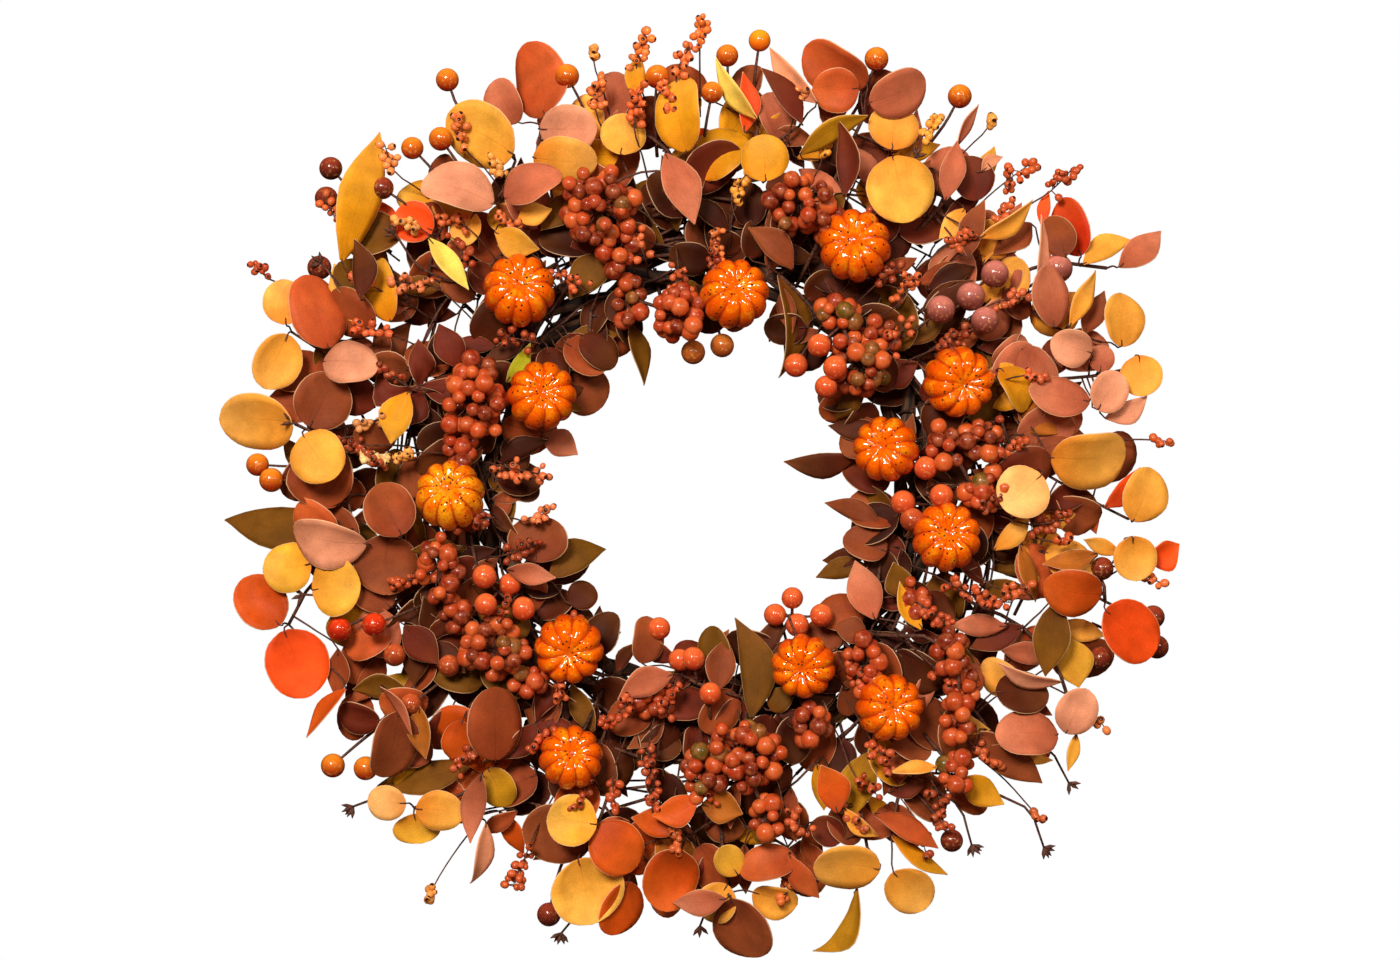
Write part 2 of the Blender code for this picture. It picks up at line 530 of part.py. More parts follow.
def build_pumpkins():
    for number, (x, z, diameter, angle, lean_right, lean_up) in enumerate(PUMPKIN_PICKS, 1):
        centre = front_point(x, z, PUMPKIN_RISE)
        facing = (Matrix.Rotation(math.radians(lean_right), 4, "Z")
                  @ Matrix.Rotation(math.radians(90 - lean_up), 4, "X"))
        mesh = pumpkin_mesh(diameter * SPREAD)
        mesh.transform(Matrix.Translation(centre) @ facing)
        pumpkin = add_part(f"pumpkin_pick_{number:02d}", mesh, foam, smooth=True)
        start = through_gap(angle, way_to(angle, centre))
        add_boolean(pumpkin, curve_mesh([start + [centre]], STEM_RADIUS), "UNION")


def leaf_shape(kind):
    """A leaf of length 1, width 1 and thickness 1, its base at the origin and its tip along +X."""
    half_widths = {"round": [(0.0, 0.14), (0.3, 0.49), (0.78, 0.42)],
                   "lance": [(0.0, 0.08), (0.4, 0.5), (0.78, 0.30)]}[kind]
    mirrored = [(x, -y) for x, y in reversed(half_widths)]
    return outline_mesh([half_widths + [(1.0, 0.0)] + mirrored], 1.0)


def leaf_matrix(base, tip, width, roll):
    """Places a leaf shape from its base to its tip, facing the front, rolled about its midrib."""
    along = tip - base
    across = Vector((0, -1, 0)).cross(along).normalized()
    across = Matrix.Rotation(math.radians(roll), 3, along.normalized()) @ across
    normal = along.normalized().cross(across)
    frame = Matrix((along, across * width * MM, normal * LEAF_THICKNESS * MM)).transposed().to_4x4()
    frame.translation = base
    return frame


def nearest_point(point, lines):
    """The point of any of the lines that is nearest to a point."""
    best = None
    for line in lines:
        for start, end in zip(line, line[1:]):
            span = end - start
            share = max(0.0, min(1.0, (point - start).dot(span) / span.length_squared))
            near = start + span * share
            if best is None or (near - point).length < (best - point).length:
                best = near
    return best


def build_leaf_sprays():
    shapes = {kind: leaf_shape(kind) for kind in ("round", "lance")}
    for name, angle, way, colour, twigs, leaves in LEAF_SPRAYS:
        routes = [[dome_point(*place) for place in twig] for twig in twigs]
        start = through_gap(angle, way)
        stem = start + routes[0]
        petioles = []
        pieces = []
        for count, (kind, base_x, base_z, tip_x, tip_z, width, layer) in enumerate(leaves):
            base = dome_point(base_x, base_z, layer)
            tip = dome_point(tip_x, tip_z, layer)
            roll = LEAF_ROLL if count % 2 else -LEAF_ROLL
            pieces.append((shapes[kind], leaf_matrix(base, tip, width * SPREAD, roll)))
            inside = base + (tip - base).normalized() * LEAF_OVERLAP * MM
            petioles.append([nearest_point(base, routes), inside])
        spray = add_part(name, curve_mesh([stem], STEM_RADIUS, resolution=0),
                         new_material(f"{name}_fabric", colour, 0.75))
        if len(routes) > 1:
            pieces.append((curve_mesh(routes[1:], STEM_RADIUS, resolution=0), Matrix()))
        pieces.append((curve_mesh(petioles, PETIOLE_RADIUS, resolution=0), Matrix()))
        add_boolean(spray, joined_mesh(pieces), "UNION")


def ball_mesh(diameter):
    """A small faceted ball, in metres."""
    shape = bmesh.new()
    bmesh.ops.create_icosphere(shape, subdivisions=1, radius=diameter / 2 * MM)
    mesh = bpy.data.meshes.new("ball")
    shape.to_mesh(mesh)
    shape.free()
    return mesh


def bead_places(size):
    """Where the beads of a berry head sit, from its centre: a spiral over the front of an egg shape."""
    reach = (size - Vector((1, 1, 1)) * BEAD_DIAMETER) / 2
    golden = math.pi * (3 - math.sqrt(5))
    for count in range(BEAD_COUNT):
        forward = 1 - HEAD_WRAP * (count + 0.5) / BEAD_COUNT
        ring = math.sqrt(1 - forward * forward)
        turn = golden * count
        yield Vector((reach.x * ring * math.cos(turn), -reach.y * forward,
                      reach.z * ring * math.sin(turn))) * MM


def build_berry_picks():
    bead = ball_mesh(BEAD_DIAMETER)
    for name, angle, heads in BERRY_PICKS:
        centres = [front_point(x, z, rise) for x, z, _, _, rise in heads]
        start = through_gap(angle, way_to(angle, centres[0]))
        pick = add_part(name, curve_mesh([start + [centres[0]]], STEM_RADIUS), berry_red)
        pieces = []
        for centre, (_, _, width, height, _) in zip(centres, heads):
            size = Vector((width, min(width, height), height)) * SPREAD
            core = Matrix.Diagonal(size * CORE_SHARE / BEAD_DIAMETER).to_4x4()
            pieces.append((bead, Matrix.Translation(centre) @ core))
            pieces += [(bead, Matrix.Translation(centre + place)) for place in bead_places(size)]
        if len(centres) > 1:
            pieces.append((curve_mesh([centres], STEM_RADIUS), Matrix()))
        add_boolean(pick, joined_mesh(pieces), "UNION")


def build_rosehip_picks():
    berry = ball_mesh(BIG_BERRY_DIAMETER)
    for name, angle, fork, berries in ROSEHIP_PICKS:
        forked = front_point(*fork)
        places = [front_point(*place) for place in berries]
        start = through_gap(angle, way_to(angle, forked))
        pick = add_part(name, curve_mesh([start + [forked]], STEM_RADIUS), berry_orange)
        pieces = [(berry, Matrix.Translation(place)) for place in places]
        pieces.append((curve_mesh([[forked, place] for place in places], STEM_RADIUS), Matrix()))
        add_boolean(pick, joined_mesh(pieces), "UNION")


clear_scene()
parts = new_collection("harvest_door_wreath")
cutters = new_collection("cutters")
bark = new_material("grapevine_bark", (0.09, 0.04, 0.02), 0.85)
binding_wire = new_material("brown_coated_wire", (0.10, 0.06, 0.04), 0.45, 0.6)
foam = new_material("lacquered_foam", (0.90, 0.22, 0.02), 0.3)
berry_red = new_material("berry_lacquer", (0.60, 0.09, 0.03), 0.35)
berry_orange = new_material("rosehip_lacquer", (0.80, 0.18, 0.04), 0.3)
build_vines()
build_bands()
build_loop()
build_pumpkins()
build_leaf_sprays()
build_berry_picks()
build_rosehip_picks()
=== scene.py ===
"""Harvest door wreath: its looks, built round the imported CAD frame.

Lengths are in millimetres in this file, and MM turns them into metres. x and z are measured from the
ring's centre as the wreath hangs, layers and rises are measured forward from the dome of foliage.
"""
import math
import random

import bpy
import numpy as np
from mathutils import Matrix, Vector


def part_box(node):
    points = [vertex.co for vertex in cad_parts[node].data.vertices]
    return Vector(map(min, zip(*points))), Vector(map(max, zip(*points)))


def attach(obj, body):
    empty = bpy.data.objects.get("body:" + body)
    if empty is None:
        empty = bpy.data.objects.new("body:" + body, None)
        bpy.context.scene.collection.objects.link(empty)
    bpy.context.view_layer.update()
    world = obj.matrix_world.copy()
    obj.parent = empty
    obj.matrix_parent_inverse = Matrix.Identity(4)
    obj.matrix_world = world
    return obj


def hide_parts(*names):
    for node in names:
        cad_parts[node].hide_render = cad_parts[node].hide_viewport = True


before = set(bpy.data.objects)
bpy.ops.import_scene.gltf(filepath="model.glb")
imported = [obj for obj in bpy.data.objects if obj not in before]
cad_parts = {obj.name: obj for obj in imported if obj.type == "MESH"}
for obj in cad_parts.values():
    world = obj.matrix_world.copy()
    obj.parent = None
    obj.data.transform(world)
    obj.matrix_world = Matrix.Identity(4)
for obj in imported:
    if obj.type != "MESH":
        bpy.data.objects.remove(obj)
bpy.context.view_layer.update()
MM = 0.001
chance = random.Random(27)

# ---- Grapevine ring ----
# Four strands of dried grapevine, twisted round one another while green and dried into a ring. The
# bark is brown-grey, split lengthways into fibrous ridges, and swells at the leaf joints.
STRANDS = [f"grapevine_strand_{number}" for number in range(1, 5)]
VINE_RADIUS = 4.6
VINE_TURNS = 5
VINE_STEPS = 120
VINE_JOINT_STEP = 9
JOINT_SWELL, PLAIN_SWELLS = 0.98, (0.80, 0.90)
RIDGE_SPACING, RIDGE_HEIGHT = 6.0, 1.6
GRAIN_SQUEEZE = 0.1
BARK_DARK, BARK_MID, BARK_PALE = "1C0E08", "44281A", "6E4A30"

corners = [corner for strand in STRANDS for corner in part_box(strand)]
lowest, highest = Vector(map(min, *corners)), Vector(map(max, *corners))
ring_centre = (lowest + highest) / 2
ring_half = (highest - lowest) / 2
RING_RADIUS = (ring_half.x - ring_half.y) / MM
VINE_ORBIT = ring_half.y / MM - VINE_RADIUS


def ring_point(angle, radial=0.0, forward=0.0):
    """A point near the ring: clockwise degrees from the top, then offsets in its cross-section."""
    turn = math.radians(angle)
    reach = RING_RADIUS + radial
    return ring_centre + Vector((reach * math.sin(turn), -forward, reach * math.cos(turn))) * MM


def linear(code):
    """An sRGB hex colour as linear red, green, blue and alpha."""
    parts = [int(code[first:first + 2], 16) / 255 for first in (0, 2, 4)]
    return (*[p / 12.92 if p <= 0.04045 else ((p + 0.055) / 1.055) ** 2.4 for p in parts], 1.0)


def new_material(name, **sockets):
    """A material and its shader, with values set on the shader's own sockets."""
    material = bpy.data.materials.new(name)
    material.use_nodes = True
    shader = material.node_tree.nodes["Principled BSDF"]
    for socket, value in sockets.items():
        shader.inputs[socket.replace("_", " ")].default_value = value
    return material, shader


def add_node(material, kind, sockets=None, **settings):
    """Adds a shader node, and fills its inputs or links them to sockets or nodes' first outputs."""
    made = material.node_tree.nodes.new(f"ShaderNode{kind}")
    for setting, value in settings.items():
        setattr(made, setting, value)
    for socket, value in (sockets or {}).items():
        value = value.outputs[0] if isinstance(value, bpy.types.Node) else value
        if isinstance(value, bpy.types.NodeSocket):
            material.node_tree.links.new(value, made.inputs[socket])
        else:
            made.inputs[socket].default_value = value
    return made


def blend_colours(material, share, first, second):
    """The colour between two colours, by a share from 0 to 1."""
    return add_node(material, "Mix", {0: share, 6: first, 7: second}, data_type="RGBA").outputs[2]


def join_to(material, shader, colour=None, roughness=None, height=None, depth=0.3, distance=0.0005):
    """Links a pattern's colour, roughness and height to the shader."""
    links = material.node_tree.links
    if colour:
        links.new(colour, shader.inputs["Base Color"])
    if roughness:
        links.new(roughness, shader.inputs["Roughness"])
    if height:
        bump = add_node(material, "Bump", {"Strength": depth, "Distance": distance, "Height": height})
        links.new(bump.outputs["Normal"], shader.inputs["Normal"])


def select_only(piece):
    bpy.ops.object.select_all(action="DESELECT")
    piece.select_set(True)
    bpy.context.view_layer.objects.active = piece


def wires(name, lines, radius, cyclic=False, resolution=1, steps=3):
    """A mesh of round wires, each bent smoothly through its points, which are (place, thickness)."""
    curve = bpy.data.curves.new(name, "CURVE")
    curve.dimensions = "3D"
    curve.bevel_depth = radius * MM
    curve.bevel_resolution = resolution
    curve.resolution_u = steps
    curve.use_fill_caps = True
    for line in lines:
        spline = curve.splines.new("BEZIER")
        spline.bezier_points.add(len(line) - 1)
        spline.use_cyclic_u = cyclic
        for point, (position, thickness) in zip(spline.bezier_points, line):
            point.co = position
            point.handle_left_type = point.handle_right_type = "AUTO"
            point.radius = thickness
    piece = bpy.data.objects.new(name, curve)
    bpy.context.scene.collection.objects.link(piece)
    select_only(piece)
    bpy.ops.object.convert(target="MESH")
    bpy.ops.object.mode_set(mode="EDIT")
    bpy.ops.mesh.select_all(action="SELECT")
    bpy.ops.mesh.remove_doubles(threshold=0.000001)
    bpy.ops.mesh.normals_make_consistent(inside=False)
    bpy.ops.object.mode_set(mode="OBJECT")
    bpy.ops.object.shade_smooth()
    return piece


def fixed(piece, material, slot, *nodes):
    """Gives a piece its material, sets it on the wreath, and lets it stand for CAD nodes. The slot is
    not used.
    """
    piece.data.materials.clear()
    piece.data.materials.append(material)
    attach(piece, "wreath")
    if nodes:
        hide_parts(*nodes)
    return piece


def keep_vectors(piece, name, values):
    """Stores a vector at each of a piece's points, for its material to read."""
    kept = piece.data.attributes.new(name, "FLOAT_VECTOR", "POINT")
    kept.data.foreach_set("vector", np.asarray(values, np.float32).ravel())


# Dried grapevine bark: rough and dull, with pale fibres standing out of dark splits along the strand.
bark, bark_shader = new_material("dried_grapevine_bark", Roughness=0.85)
grain = add_node(bark, "Attribute", attribute_name="grain")
fibres = add_node(bark, "TexNoise", {"Vector": grain.outputs["Vector"], "Scale": 900.0, "Detail": 5.0})
splits = add_node(bark, "TexNoise", {"Vector": grain.outputs["Vector"], "Scale": 300.0, "Detail": 2.0})
fibre_share = add_node(bark, "MapRange", {"Value": fibres, 1: 0.35, 2: 0.68})
split_share = add_node(bark, "MapRange", {"Value": splits, 1: 0.4, 2: 0.6})
bark_base = blend_colours(bark, fibre_share, linear(BARK_MID), linear(BARK_PALE))
bark_colour = blend_colours(bark, split_share, linear(BARK_DARK), bark_base)
join_to(bark, bark_shader, bark_colour, None, fibres, 0.8, 0.0012)

ridges = bpy.data.textures.new("bark_ridges", "CLOUDS")
ridges.noise_scale = RIDGE_SPACING * MM
for number, strand in enumerate(STRANDS):
    line = []
    for step in range(VINE_STEPS):
        angle = 360.0 * step / VINE_STEPS
        phase = math.radians(360.0 * number / len(STRANDS) + VINE_TURNS * angle)
        at_joint = (step + 3 * number) % VINE_JOINT_STEP == 0
        swell = JOINT_SWELL if at_joint else chance.uniform(*PLAIN_SWELLS)
        place = ring_point(angle, VINE_ORBIT * math.cos(phase), VINE_ORBIT * math.sin(phase))
        line.append((place, swell))
    vine = wires(f"{strand}_bark", [line], VINE_RADIUS, cyclic=True, resolution=4)
    bpy.ops.object.modifier_add(type="DISPLACE")
    vine.modifiers[-1].texture = ridges
    vine.modifiers[-1].strength = RIDGE_HEIGHT * MM
    bpy.ops.object.modifier_apply(modifier=vine.modifiers[-1].name)
    along = []
    for vertex in vine.data.vertices:
        offset = vertex.co - ring_centre
        turn = math.atan2(offset.x, offset.z)
        across = Vector((math.hypot(offset.x, offset.z) - RING_RADIUS * MM, offset.y))
        across.rotate(Matrix.Rotation(VINE_TURNS * turn, 2))
        along.append((turn * RING_RADIUS * MM * GRAIN_SQUEEZE, across.x, across.y))
    keep_vectors(vine, "grain", along)
    fixed(vine, bark, "grapevine", strand)

# ---- Binding wire ----
# The strands are bound at six places with six turns of 1 mm brown coated iron wire, its two ends
# twisted together inside the ring. The top binding holds the eye that the hanging loop swings in.
WIRE_TURNS = 6
WIRE_PITCH = 1.0
WIRE_RADIUS = 0.5
BAND_RADIUS = VINE_ORBIT + VINE_RADIUS + 1.3
BAND_BACK = 16.67
COIL_STEPS = 28
EYE_DROP = 30.0
EYE_RADIUS = 2.55
EYE_WALL = 0.9
EYE_LENGTH = 9.6
EYE_ROUNDING = 0.2
TAIL_STEPS, TAIL_STRIDE, TAIL_TWIST = 7, 1.2, 2.2
BANDS = ["hanger_anchor", *[f"wire_band_{number}" for number in range(1, 6)]]

# Brown PVC-coated wire: a smooth, half-gloss skin with small scuffs.
coated, coated_shader = new_material("brown_coated_iron_wire", Roughness=0.4, Metallic=0.3)
place = add_node(coated, "TexCoord")
scuffs = add_node(coated, "TexNoise", {"Vector": place.outputs["Object"], "Scale": 420.0,
                                       "Detail": 3.0})
scuff_share = add_node(coated, "MapRange", {"Value": scuffs, 1: 0.45, 2: 0.7})
coated_colour = blend_colours(coated, scuff_share, linear("2C1A10"), linear("5A3A26"))
coated_rough = add_node(coated, "MapRange", {"Value": scuffs, 3: 0.3, 4: 0.6})
join_to(coated, coated_shader, coated_colour, coated_rough.outputs[0], scuffs, 0.2, 0.0001)

for number, band in enumerate(BANDS):
    angle = 360.0 * number / len(BANDS)
    coil = []
    for step in range(WIRE_TURNS * COIL_STEPS + 1):
        way = 2 * math.pi * step / COIL_STEPS + math.pi
        slip = WIRE_PITCH * (step / COIL_STEPS - WIRE_TURNS / 2)
        back = max(-BAND_BACK, BAND_RADIUS * math.sin(way))
        coil.append((ring_point(angle + math.degrees(slip / RING_RADIUS),
                                BAND_RADIUS * math.cos(way), back), 1.0))
    tail = [(ring_point(angle + 0.3 * math.sin(step * TAIL_TWIST),
                        -BAND_RADIUS - 0.4 - step * TAIL_STRIDE,
                        0.6 * math.cos(step * TAIL_TWIST)), 1.3) for step in range(TAIL_STEPS)]
    binding = wires(f"{band}_winding", [coil, tail], WIRE_RADIUS, steps=1)
    if number == 0:
        bpy.ops.mesh.primitive_cylinder_add(vertices=32, radius=EYE_RADIUS * MM, depth=EYE_LENGTH * MM,
                                            end_fill_type="NOTHING", location=(0, 0, -EYE_DROP * MM),
                                            rotation=(0, math.pi / 2, 0))
        bpy.ops.object.transform_apply(location=True, rotation=True, scale=True)
        eye = bpy.context.object
        eye.modifiers.new("wall", "SOLIDIFY").thickness = EYE_WALL * MM
        eye.modifiers["wall"].offset = 0.0
        bpy.ops.object.modifier_apply(modifier="wall")
        eye.modifiers.new("rim", "BEVEL").width = EYE_ROUNDING * MM
        eye.modifiers["rim"].segments = 2
        bpy.ops.object.modifier_apply(modifier="rim")
        binding.select_set(True)
        bpy.context.view_layer.objects.active = binding
        bpy.ops.object.join()
        bpy.ops.object.shade_smooth_by_angle(angle=math.radians(40))
    fixed(binding, coated, "coated_wire", band)

# ---- Hanging loop ----
# A loop of 2 mm coated wire, bent round and closed through the eye, so that it falls flat or stands up.
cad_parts["hanging_loop"].data.materials.clear()
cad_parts["hanging_loop"].data.materials.append(coated)

# ---- Pumpkins ----
# Twelve small foam pumpkins, moulded with ten ribs that run into a dimple, painted orange over yellow
# and varnished, each on a wire that is pushed between the strands.
PUMPKINS = [
    (20, 109, 41, 11, 8, 14), (90, 137, 43, 33, -6, 10), (150, 58, 42, 69, 12, -8),
    (108, 19, 39, 80, -14, 6), (143, -32, 41, 102, 4, 12), (110, -131, 40, 141, 10, 4),
    (60, -107, 38, 153, -8, -6), (-75, -160, 38, 205, 6, 16), (-76, -97, 41, 218, 2, -10),
    (-145, -8, 41, 267, -4, 20), (-92, 50, 41, 295, 10, 8), (-105, 111, 43, 316.6, 6, 14)]
PUMPKIN_RIBS = 10
RIB_SEGMENTS = 6
PUMPKIN_PROFILE = [(0.0, 0.60), (0.15, 0.66), (0.31, 0.75), (0.48, 0.80), (0.65, 0.77), (0.80, 0.65),
                   (0.91, 0.47), (0.98, 0.24), (1.0, 0.0)]
RIB_PULLS = [0.87, 0.965, 0.995]
GOLDEN_PUMPKIN = 10
DOME_DEPTH = 52.0
DOME_OUTER, DOME_OUTER_DROP = 165.0, 0.0017
DOME_INNER, DOME_INNER_DROP = 112.0, 0.26
PUMPKIN_RISE = 8.0
GOLDEN_SHIFT = 0.16
STEM_RADIUS = 1.2
STEM_EXIT = VINE_ORBIT + VINE_RADIUS + 3.0


def front_point(x, z, rise):
    """A point in front of the dome's top by a rise."""
    return Vector((x * MM, -(DOME_DEPTH + rise) * MM, ring_centre.z + z * MM))


def dome_point(x, z, layer):
    """A point on the dome of foliage, or a layer in front of it."""
    reach = math.hypot(x, z)
    outer = max(0.0, reach - DOME_OUTER)
    inner = max(0.0, DOME_INNER - reach)
    return front_point(x, z, layer - DOME_OUTER_DROP * outer * outer - DOME_INNER_DROP * inner)


def through_gap(angle, toward):
    """The start of a stem: from the hollow core, out between the two strands nearest to its way."""
    pitch = 360.0 / len(STRANDS)
    first = pitch / 2 + VINE_TURNS * angle
    way = math.radians(first + pitch * round((toward - first) / pitch))
    return [ring_point(angle), ring_point(angle, STEM_EXIT * math.cos(way), STEM_EXIT * math.sin(way))]


def way_to(angle, target):
    """The direction in the ring's cross-section, from outward to front in degrees, toward a point."""
    turn = math.radians(angle)
    offset = target - ring_point(angle)
    return math.degrees(math.atan2(-offset.y, offset.x * math.sin(turn) + offset.z * math.cos(turn)))


def edit(piece, picked, operator, **settings):
    """Selects the points of a piece that a test picks, and runs an edit-mode operator on them."""
    select_only(piece)
    bpy.ops.object.mode_set(mode="EDIT")
    bpy.ops.mesh.select_mode(type="VERT")
    bpy.ops.mesh.select_all(action="DESELECT")
    bpy.ops.object.mode_set(mode="OBJECT")
    for vertex in piece.data.vertices:
        vertex.select = picked(vertex.co)
    bpy.ops.object.mode_set(mode="EDIT")
    operator(**settings)
    bpy.ops.object.mode_set(mode="OBJECT")


def taken(blank):
    """The points and faces of a modelled blank, which is then removed."""
    points = np.array([vertex.co for vertex in blank.data.vertices])
    faces = [tuple(face.vertices) for face in blank.data.polygons]
    bpy.data.objects.remove(blank)
    return points, faces


def gathered(name, copies):
    """One piece from copies of blanks, each (placed points, faces, own points, dyes by point)."""
    faces, first = [], 0
    for points, shape_faces, _, _ in copies:
        faces += [tuple(first + corner for corner in face) for face in shape_faces]
        first += len(points)
    mesh = bpy.data.meshes.new(name)
    mesh.from_pydata(np.concatenate([copy[0] for copy in copies]), [], faces)
    piece = bpy.data.objects.new(name, mesh)
    bpy.context.scene.collection.objects.link(piece)
    keep_vectors(piece, "own", np.concatenate([copy[2] for copy in copies]))
    dyes = mesh.attributes.new("dye", "FLOAT_COLOR", "POINT")
    shades = np.concatenate([np.broadcast_to(copy[3], (len(copy[0]), 4)) for copy in copies])
    dyes.data.foreach_set("color", shades.astype(np.float32).ravel())
    select_only(piece)
    bpy.ops.object.shade_smooth()
    return piece


def placed(points, matrix):
    """Points moved by a matrix."""
    turned = np.array(matrix.to_3x3())
    return points @ turned.T + np.array(matrix.translation)


def joined(pieces):
    """Joins pieces into the first of them."""
    select_only(pieces[0])
    for piece in pieces[1:]:
        piece.select_set(True)
    bpy.ops.object.join()
    return pieces[0]


# Varnished foam: orange paint, thin and yellow on some crowns, with dark flecks of 1 mm that crowd
# where the ribs meet, under a hard clear varnish. Painted shade makes the grooves darker red, and
# darkens the dimple where the ribs meet and the rim.
foam, foam_shader = new_material("varnished_foam", Roughness=0.5, Specular_IOR_Level=0.0,
                                 Coat_Weight=1.0, Coat_Roughness=0.07, Coat_IOR=1.75)
own = add_node(foam, "Attribute", attribute_name="own")
shift = add_node(foam, "Attribute", attribute_name="dye")
around = add_node(foam, "VectorMath", {0: own.outputs["Vector"], 1: shift.outputs["Color"]},
                  operation="ADD")
blotches = add_node(foam, "TexNoise", {"Vector": around, "Scale": 2.6, "Detail": 5.0, "Roughness": 0.6})
pits = add_node(foam, "TexNoise", {"Vector": around, "Scale": 14.0, "Detail": 3.0})
apart = add_node(foam, "SeparateXYZ", {0: own.outputs["Vector"]})
flat = add_node(foam, "VectorMath", {0: own.outputs["Vector"], 1: (1.0, 1.0, 0.0)},
                operation="MULTIPLY")
reach = add_node(foam, "VectorMath", {0: flat}, operation="LENGTH")
turn = add_node(foam, "Math", {0: apart.outputs["Y"], 1: apart.outputs["X"]}, operation="ARCTAN2")
turn = add_node(foam, "Math", {0: turn, 1: float(PUMPKIN_RIBS)}, operation="MULTIPLY")
# Painted shade in the grooves: a darker red line along each groove between the ribs, fading out towards
# the dimple.
groove = add_node(foam, "Math", {0: turn}, operation="COSINE")
groove_shade_line = add_node(foam, "MapRange", {"Value": groove, 1: 0.78, 2: 1.0, 4: 0.85})
groove_shade_fade = add_node(foam, "MapRange", {"Value": reach.outputs["Value"], 1: 0.12, 2: 0.4})
painted_groove_shade = add_node(foam, "Math", {0: groove_shade_line, 1: groove_shade_fade}, operation="MULTIPLY")
shifts = add_node(foam, "SeparateXYZ", {0: shift.outputs["Color"]})
thin_paint = add_node(foam, "Math", {0: blotches, 1: shifts.outputs["Y"]}, operation="ADD")
crown = add_node(foam, "MapRange", {"Value": thin_paint, 1: 0.50, 2: 0.74})
# Painted shade at the rim: the paint turns darker red-orange towards the edge of the face, where the
# surface turns away from the light.
rim = add_node(foam, "MapRange", {"Value": reach.outputs["Value"], 1: 0.62, 2: 1.0, 4: 0.7})
painted = blend_colours(foam, rim, linear("F86A02"), linear("DC4002"))
painted = blend_colours(foam, crown, painted, linear("FCA414"))
worn = add_node(foam, "MapRange", {"Value": pits, 1: 0.38, 2: 0.5, 3: 0.6, 4: 0.0})
painted = blend_colours(foam, worn, painted, linear("DC4404"))
# Painted shade: darker red in the grooves.
painted = blend_colours(foam, painted_groove_shade, painted, linear("B42C04"))
# Painted shade in the dimple where the ribs meet: darker orange near the middle of the face.
painted_dimple_shade = add_node(foam, "MapRange", {"Value": reach.outputs["Value"], 1: 0.22, 2: 0.05, 4: 0.7})
painted = blend_colours(foam, painted_dimple_shade, painted, linear("C84A06"))
cells = add_node(foam, "TexVoronoi", {"Vector": around, "Scale": 7.0})
lot = add_node(foam, "SeparateXYZ", {0: cells.outputs["Color"]})
near_middle = add_node(foam, "MapRange", {"Value": reach.outputs["Value"], 1: 0.15, 2: 0.7,
                                          3: 0.15, 4: 0.62})
chosen = add_node(foam, "Math", {0: lot.outputs["X"], 1: near_middle}, operation="GREATER_THAN")
dots = add_node(foam, "MapRange", {"Value": cells.outputs["Distance"], 1: 0.27, 2: 0.19})
fleck_share = add_node(foam, "Math", {0: dots, 1: chosen}, operation="MULTIPLY")
painted = blend_colours(foam, fleck_share, painted, linear("46220A"))
join_to(foam, foam_shader, painted, None, pits, 0.3, 0.0006)
lumps = add_node(foam, "TexNoise", {"Vector": around, "Scale": 4.5, "Detail": 0.0})
pooled = add_node(foam, "Bump", {"Strength": 0.3, "Distance": 0.003, "Height": lumps})
foam.node_tree.links.new(pooled.outputs["Normal"], foam_shader.inputs["Coat Normal"])

rings = 2 * len(PUMPKIN_PROFILE) - 2
bpy.ops.mesh.primitive_uv_sphere_add(segments=RIB_SEGMENTS * PUMPKIN_RIBS, ring_count=rings, radius=1.0)
blank = bpy.context.object
for row, (out, up) in enumerate(PUMPKIN_PROFILE):
    old_out, old_up = math.sin(math.pi * row / rings), math.cos(math.pi * row / rings)
    wide, tall = out / old_out if row else 1.0, up / old_up if up else 1.0
    edit(blank, lambda co: abs(math.hypot(co.x, co.y) - old_out) + abs(abs(co.z) - old_up) < 0.001,
         bpy.ops.transform.resize, value=(wide, wide, tall), center_override=(0, 0, 0))
rib_step = 2 * math.pi / PUMPKIN_RIBS
for from_groove, pull in enumerate(RIB_PULLS):
    edit(blank, lambda co: math.hypot(co.x, co.y) > 0.25 and abs(abs(math.remainder(
        math.atan2(co.y, co.x), rib_step)) - from_groove * rib_step / RIB_SEGMENTS) < 0.01,
        bpy.ops.transform.resize, value=(pull, pull, pull), center_override=(0, 0, 0))
blank.modifiers.new("round", "SUBSURF").levels = 1
bpy.ops.object.modifier_apply(modifier="round")
pumpkin_points, pumpkin_faces = taken(blank)

for number, (x, z, diameter, angle, lean_right, lean_up) in enumerate(PUMPKINS, 1):
    middle = front_point(x, z, PUMPKIN_RISE)
    facing = (Matrix.Rotation(math.radians(lean_right), 4, "Z")
              @ Matrix.Rotation(math.radians(90 - lean_up), 4, "X")
              @ Matrix.Rotation(number, 4, "Z") @ Matrix.Scale(diameter / 2 * MM, 4))
    facing.translation = middle
    golden = GOLDEN_SHIFT if number == GOLDEN_PUMPKIN else 0.0
    pumpkin = gathered(f"pumpkin_{number:02d}", [(placed(pumpkin_points, facing), pumpkin_faces,
                                                  pumpkin_points, (3.0 * number, golden, 0, 1))])
    fixed(pumpkin, foam, "pumpkin_foam", f"pumpkin_pick_{number:02d}")
    start = through_gap(angle, way_to(angle, middle))
    line = [(point, 1) for point in [*start, middle]]
    pick = wires(f"pumpkin_{number:02d}_wire", [line], STEM_RADIUS)
    fixed(pick, coated, "coated_wire")

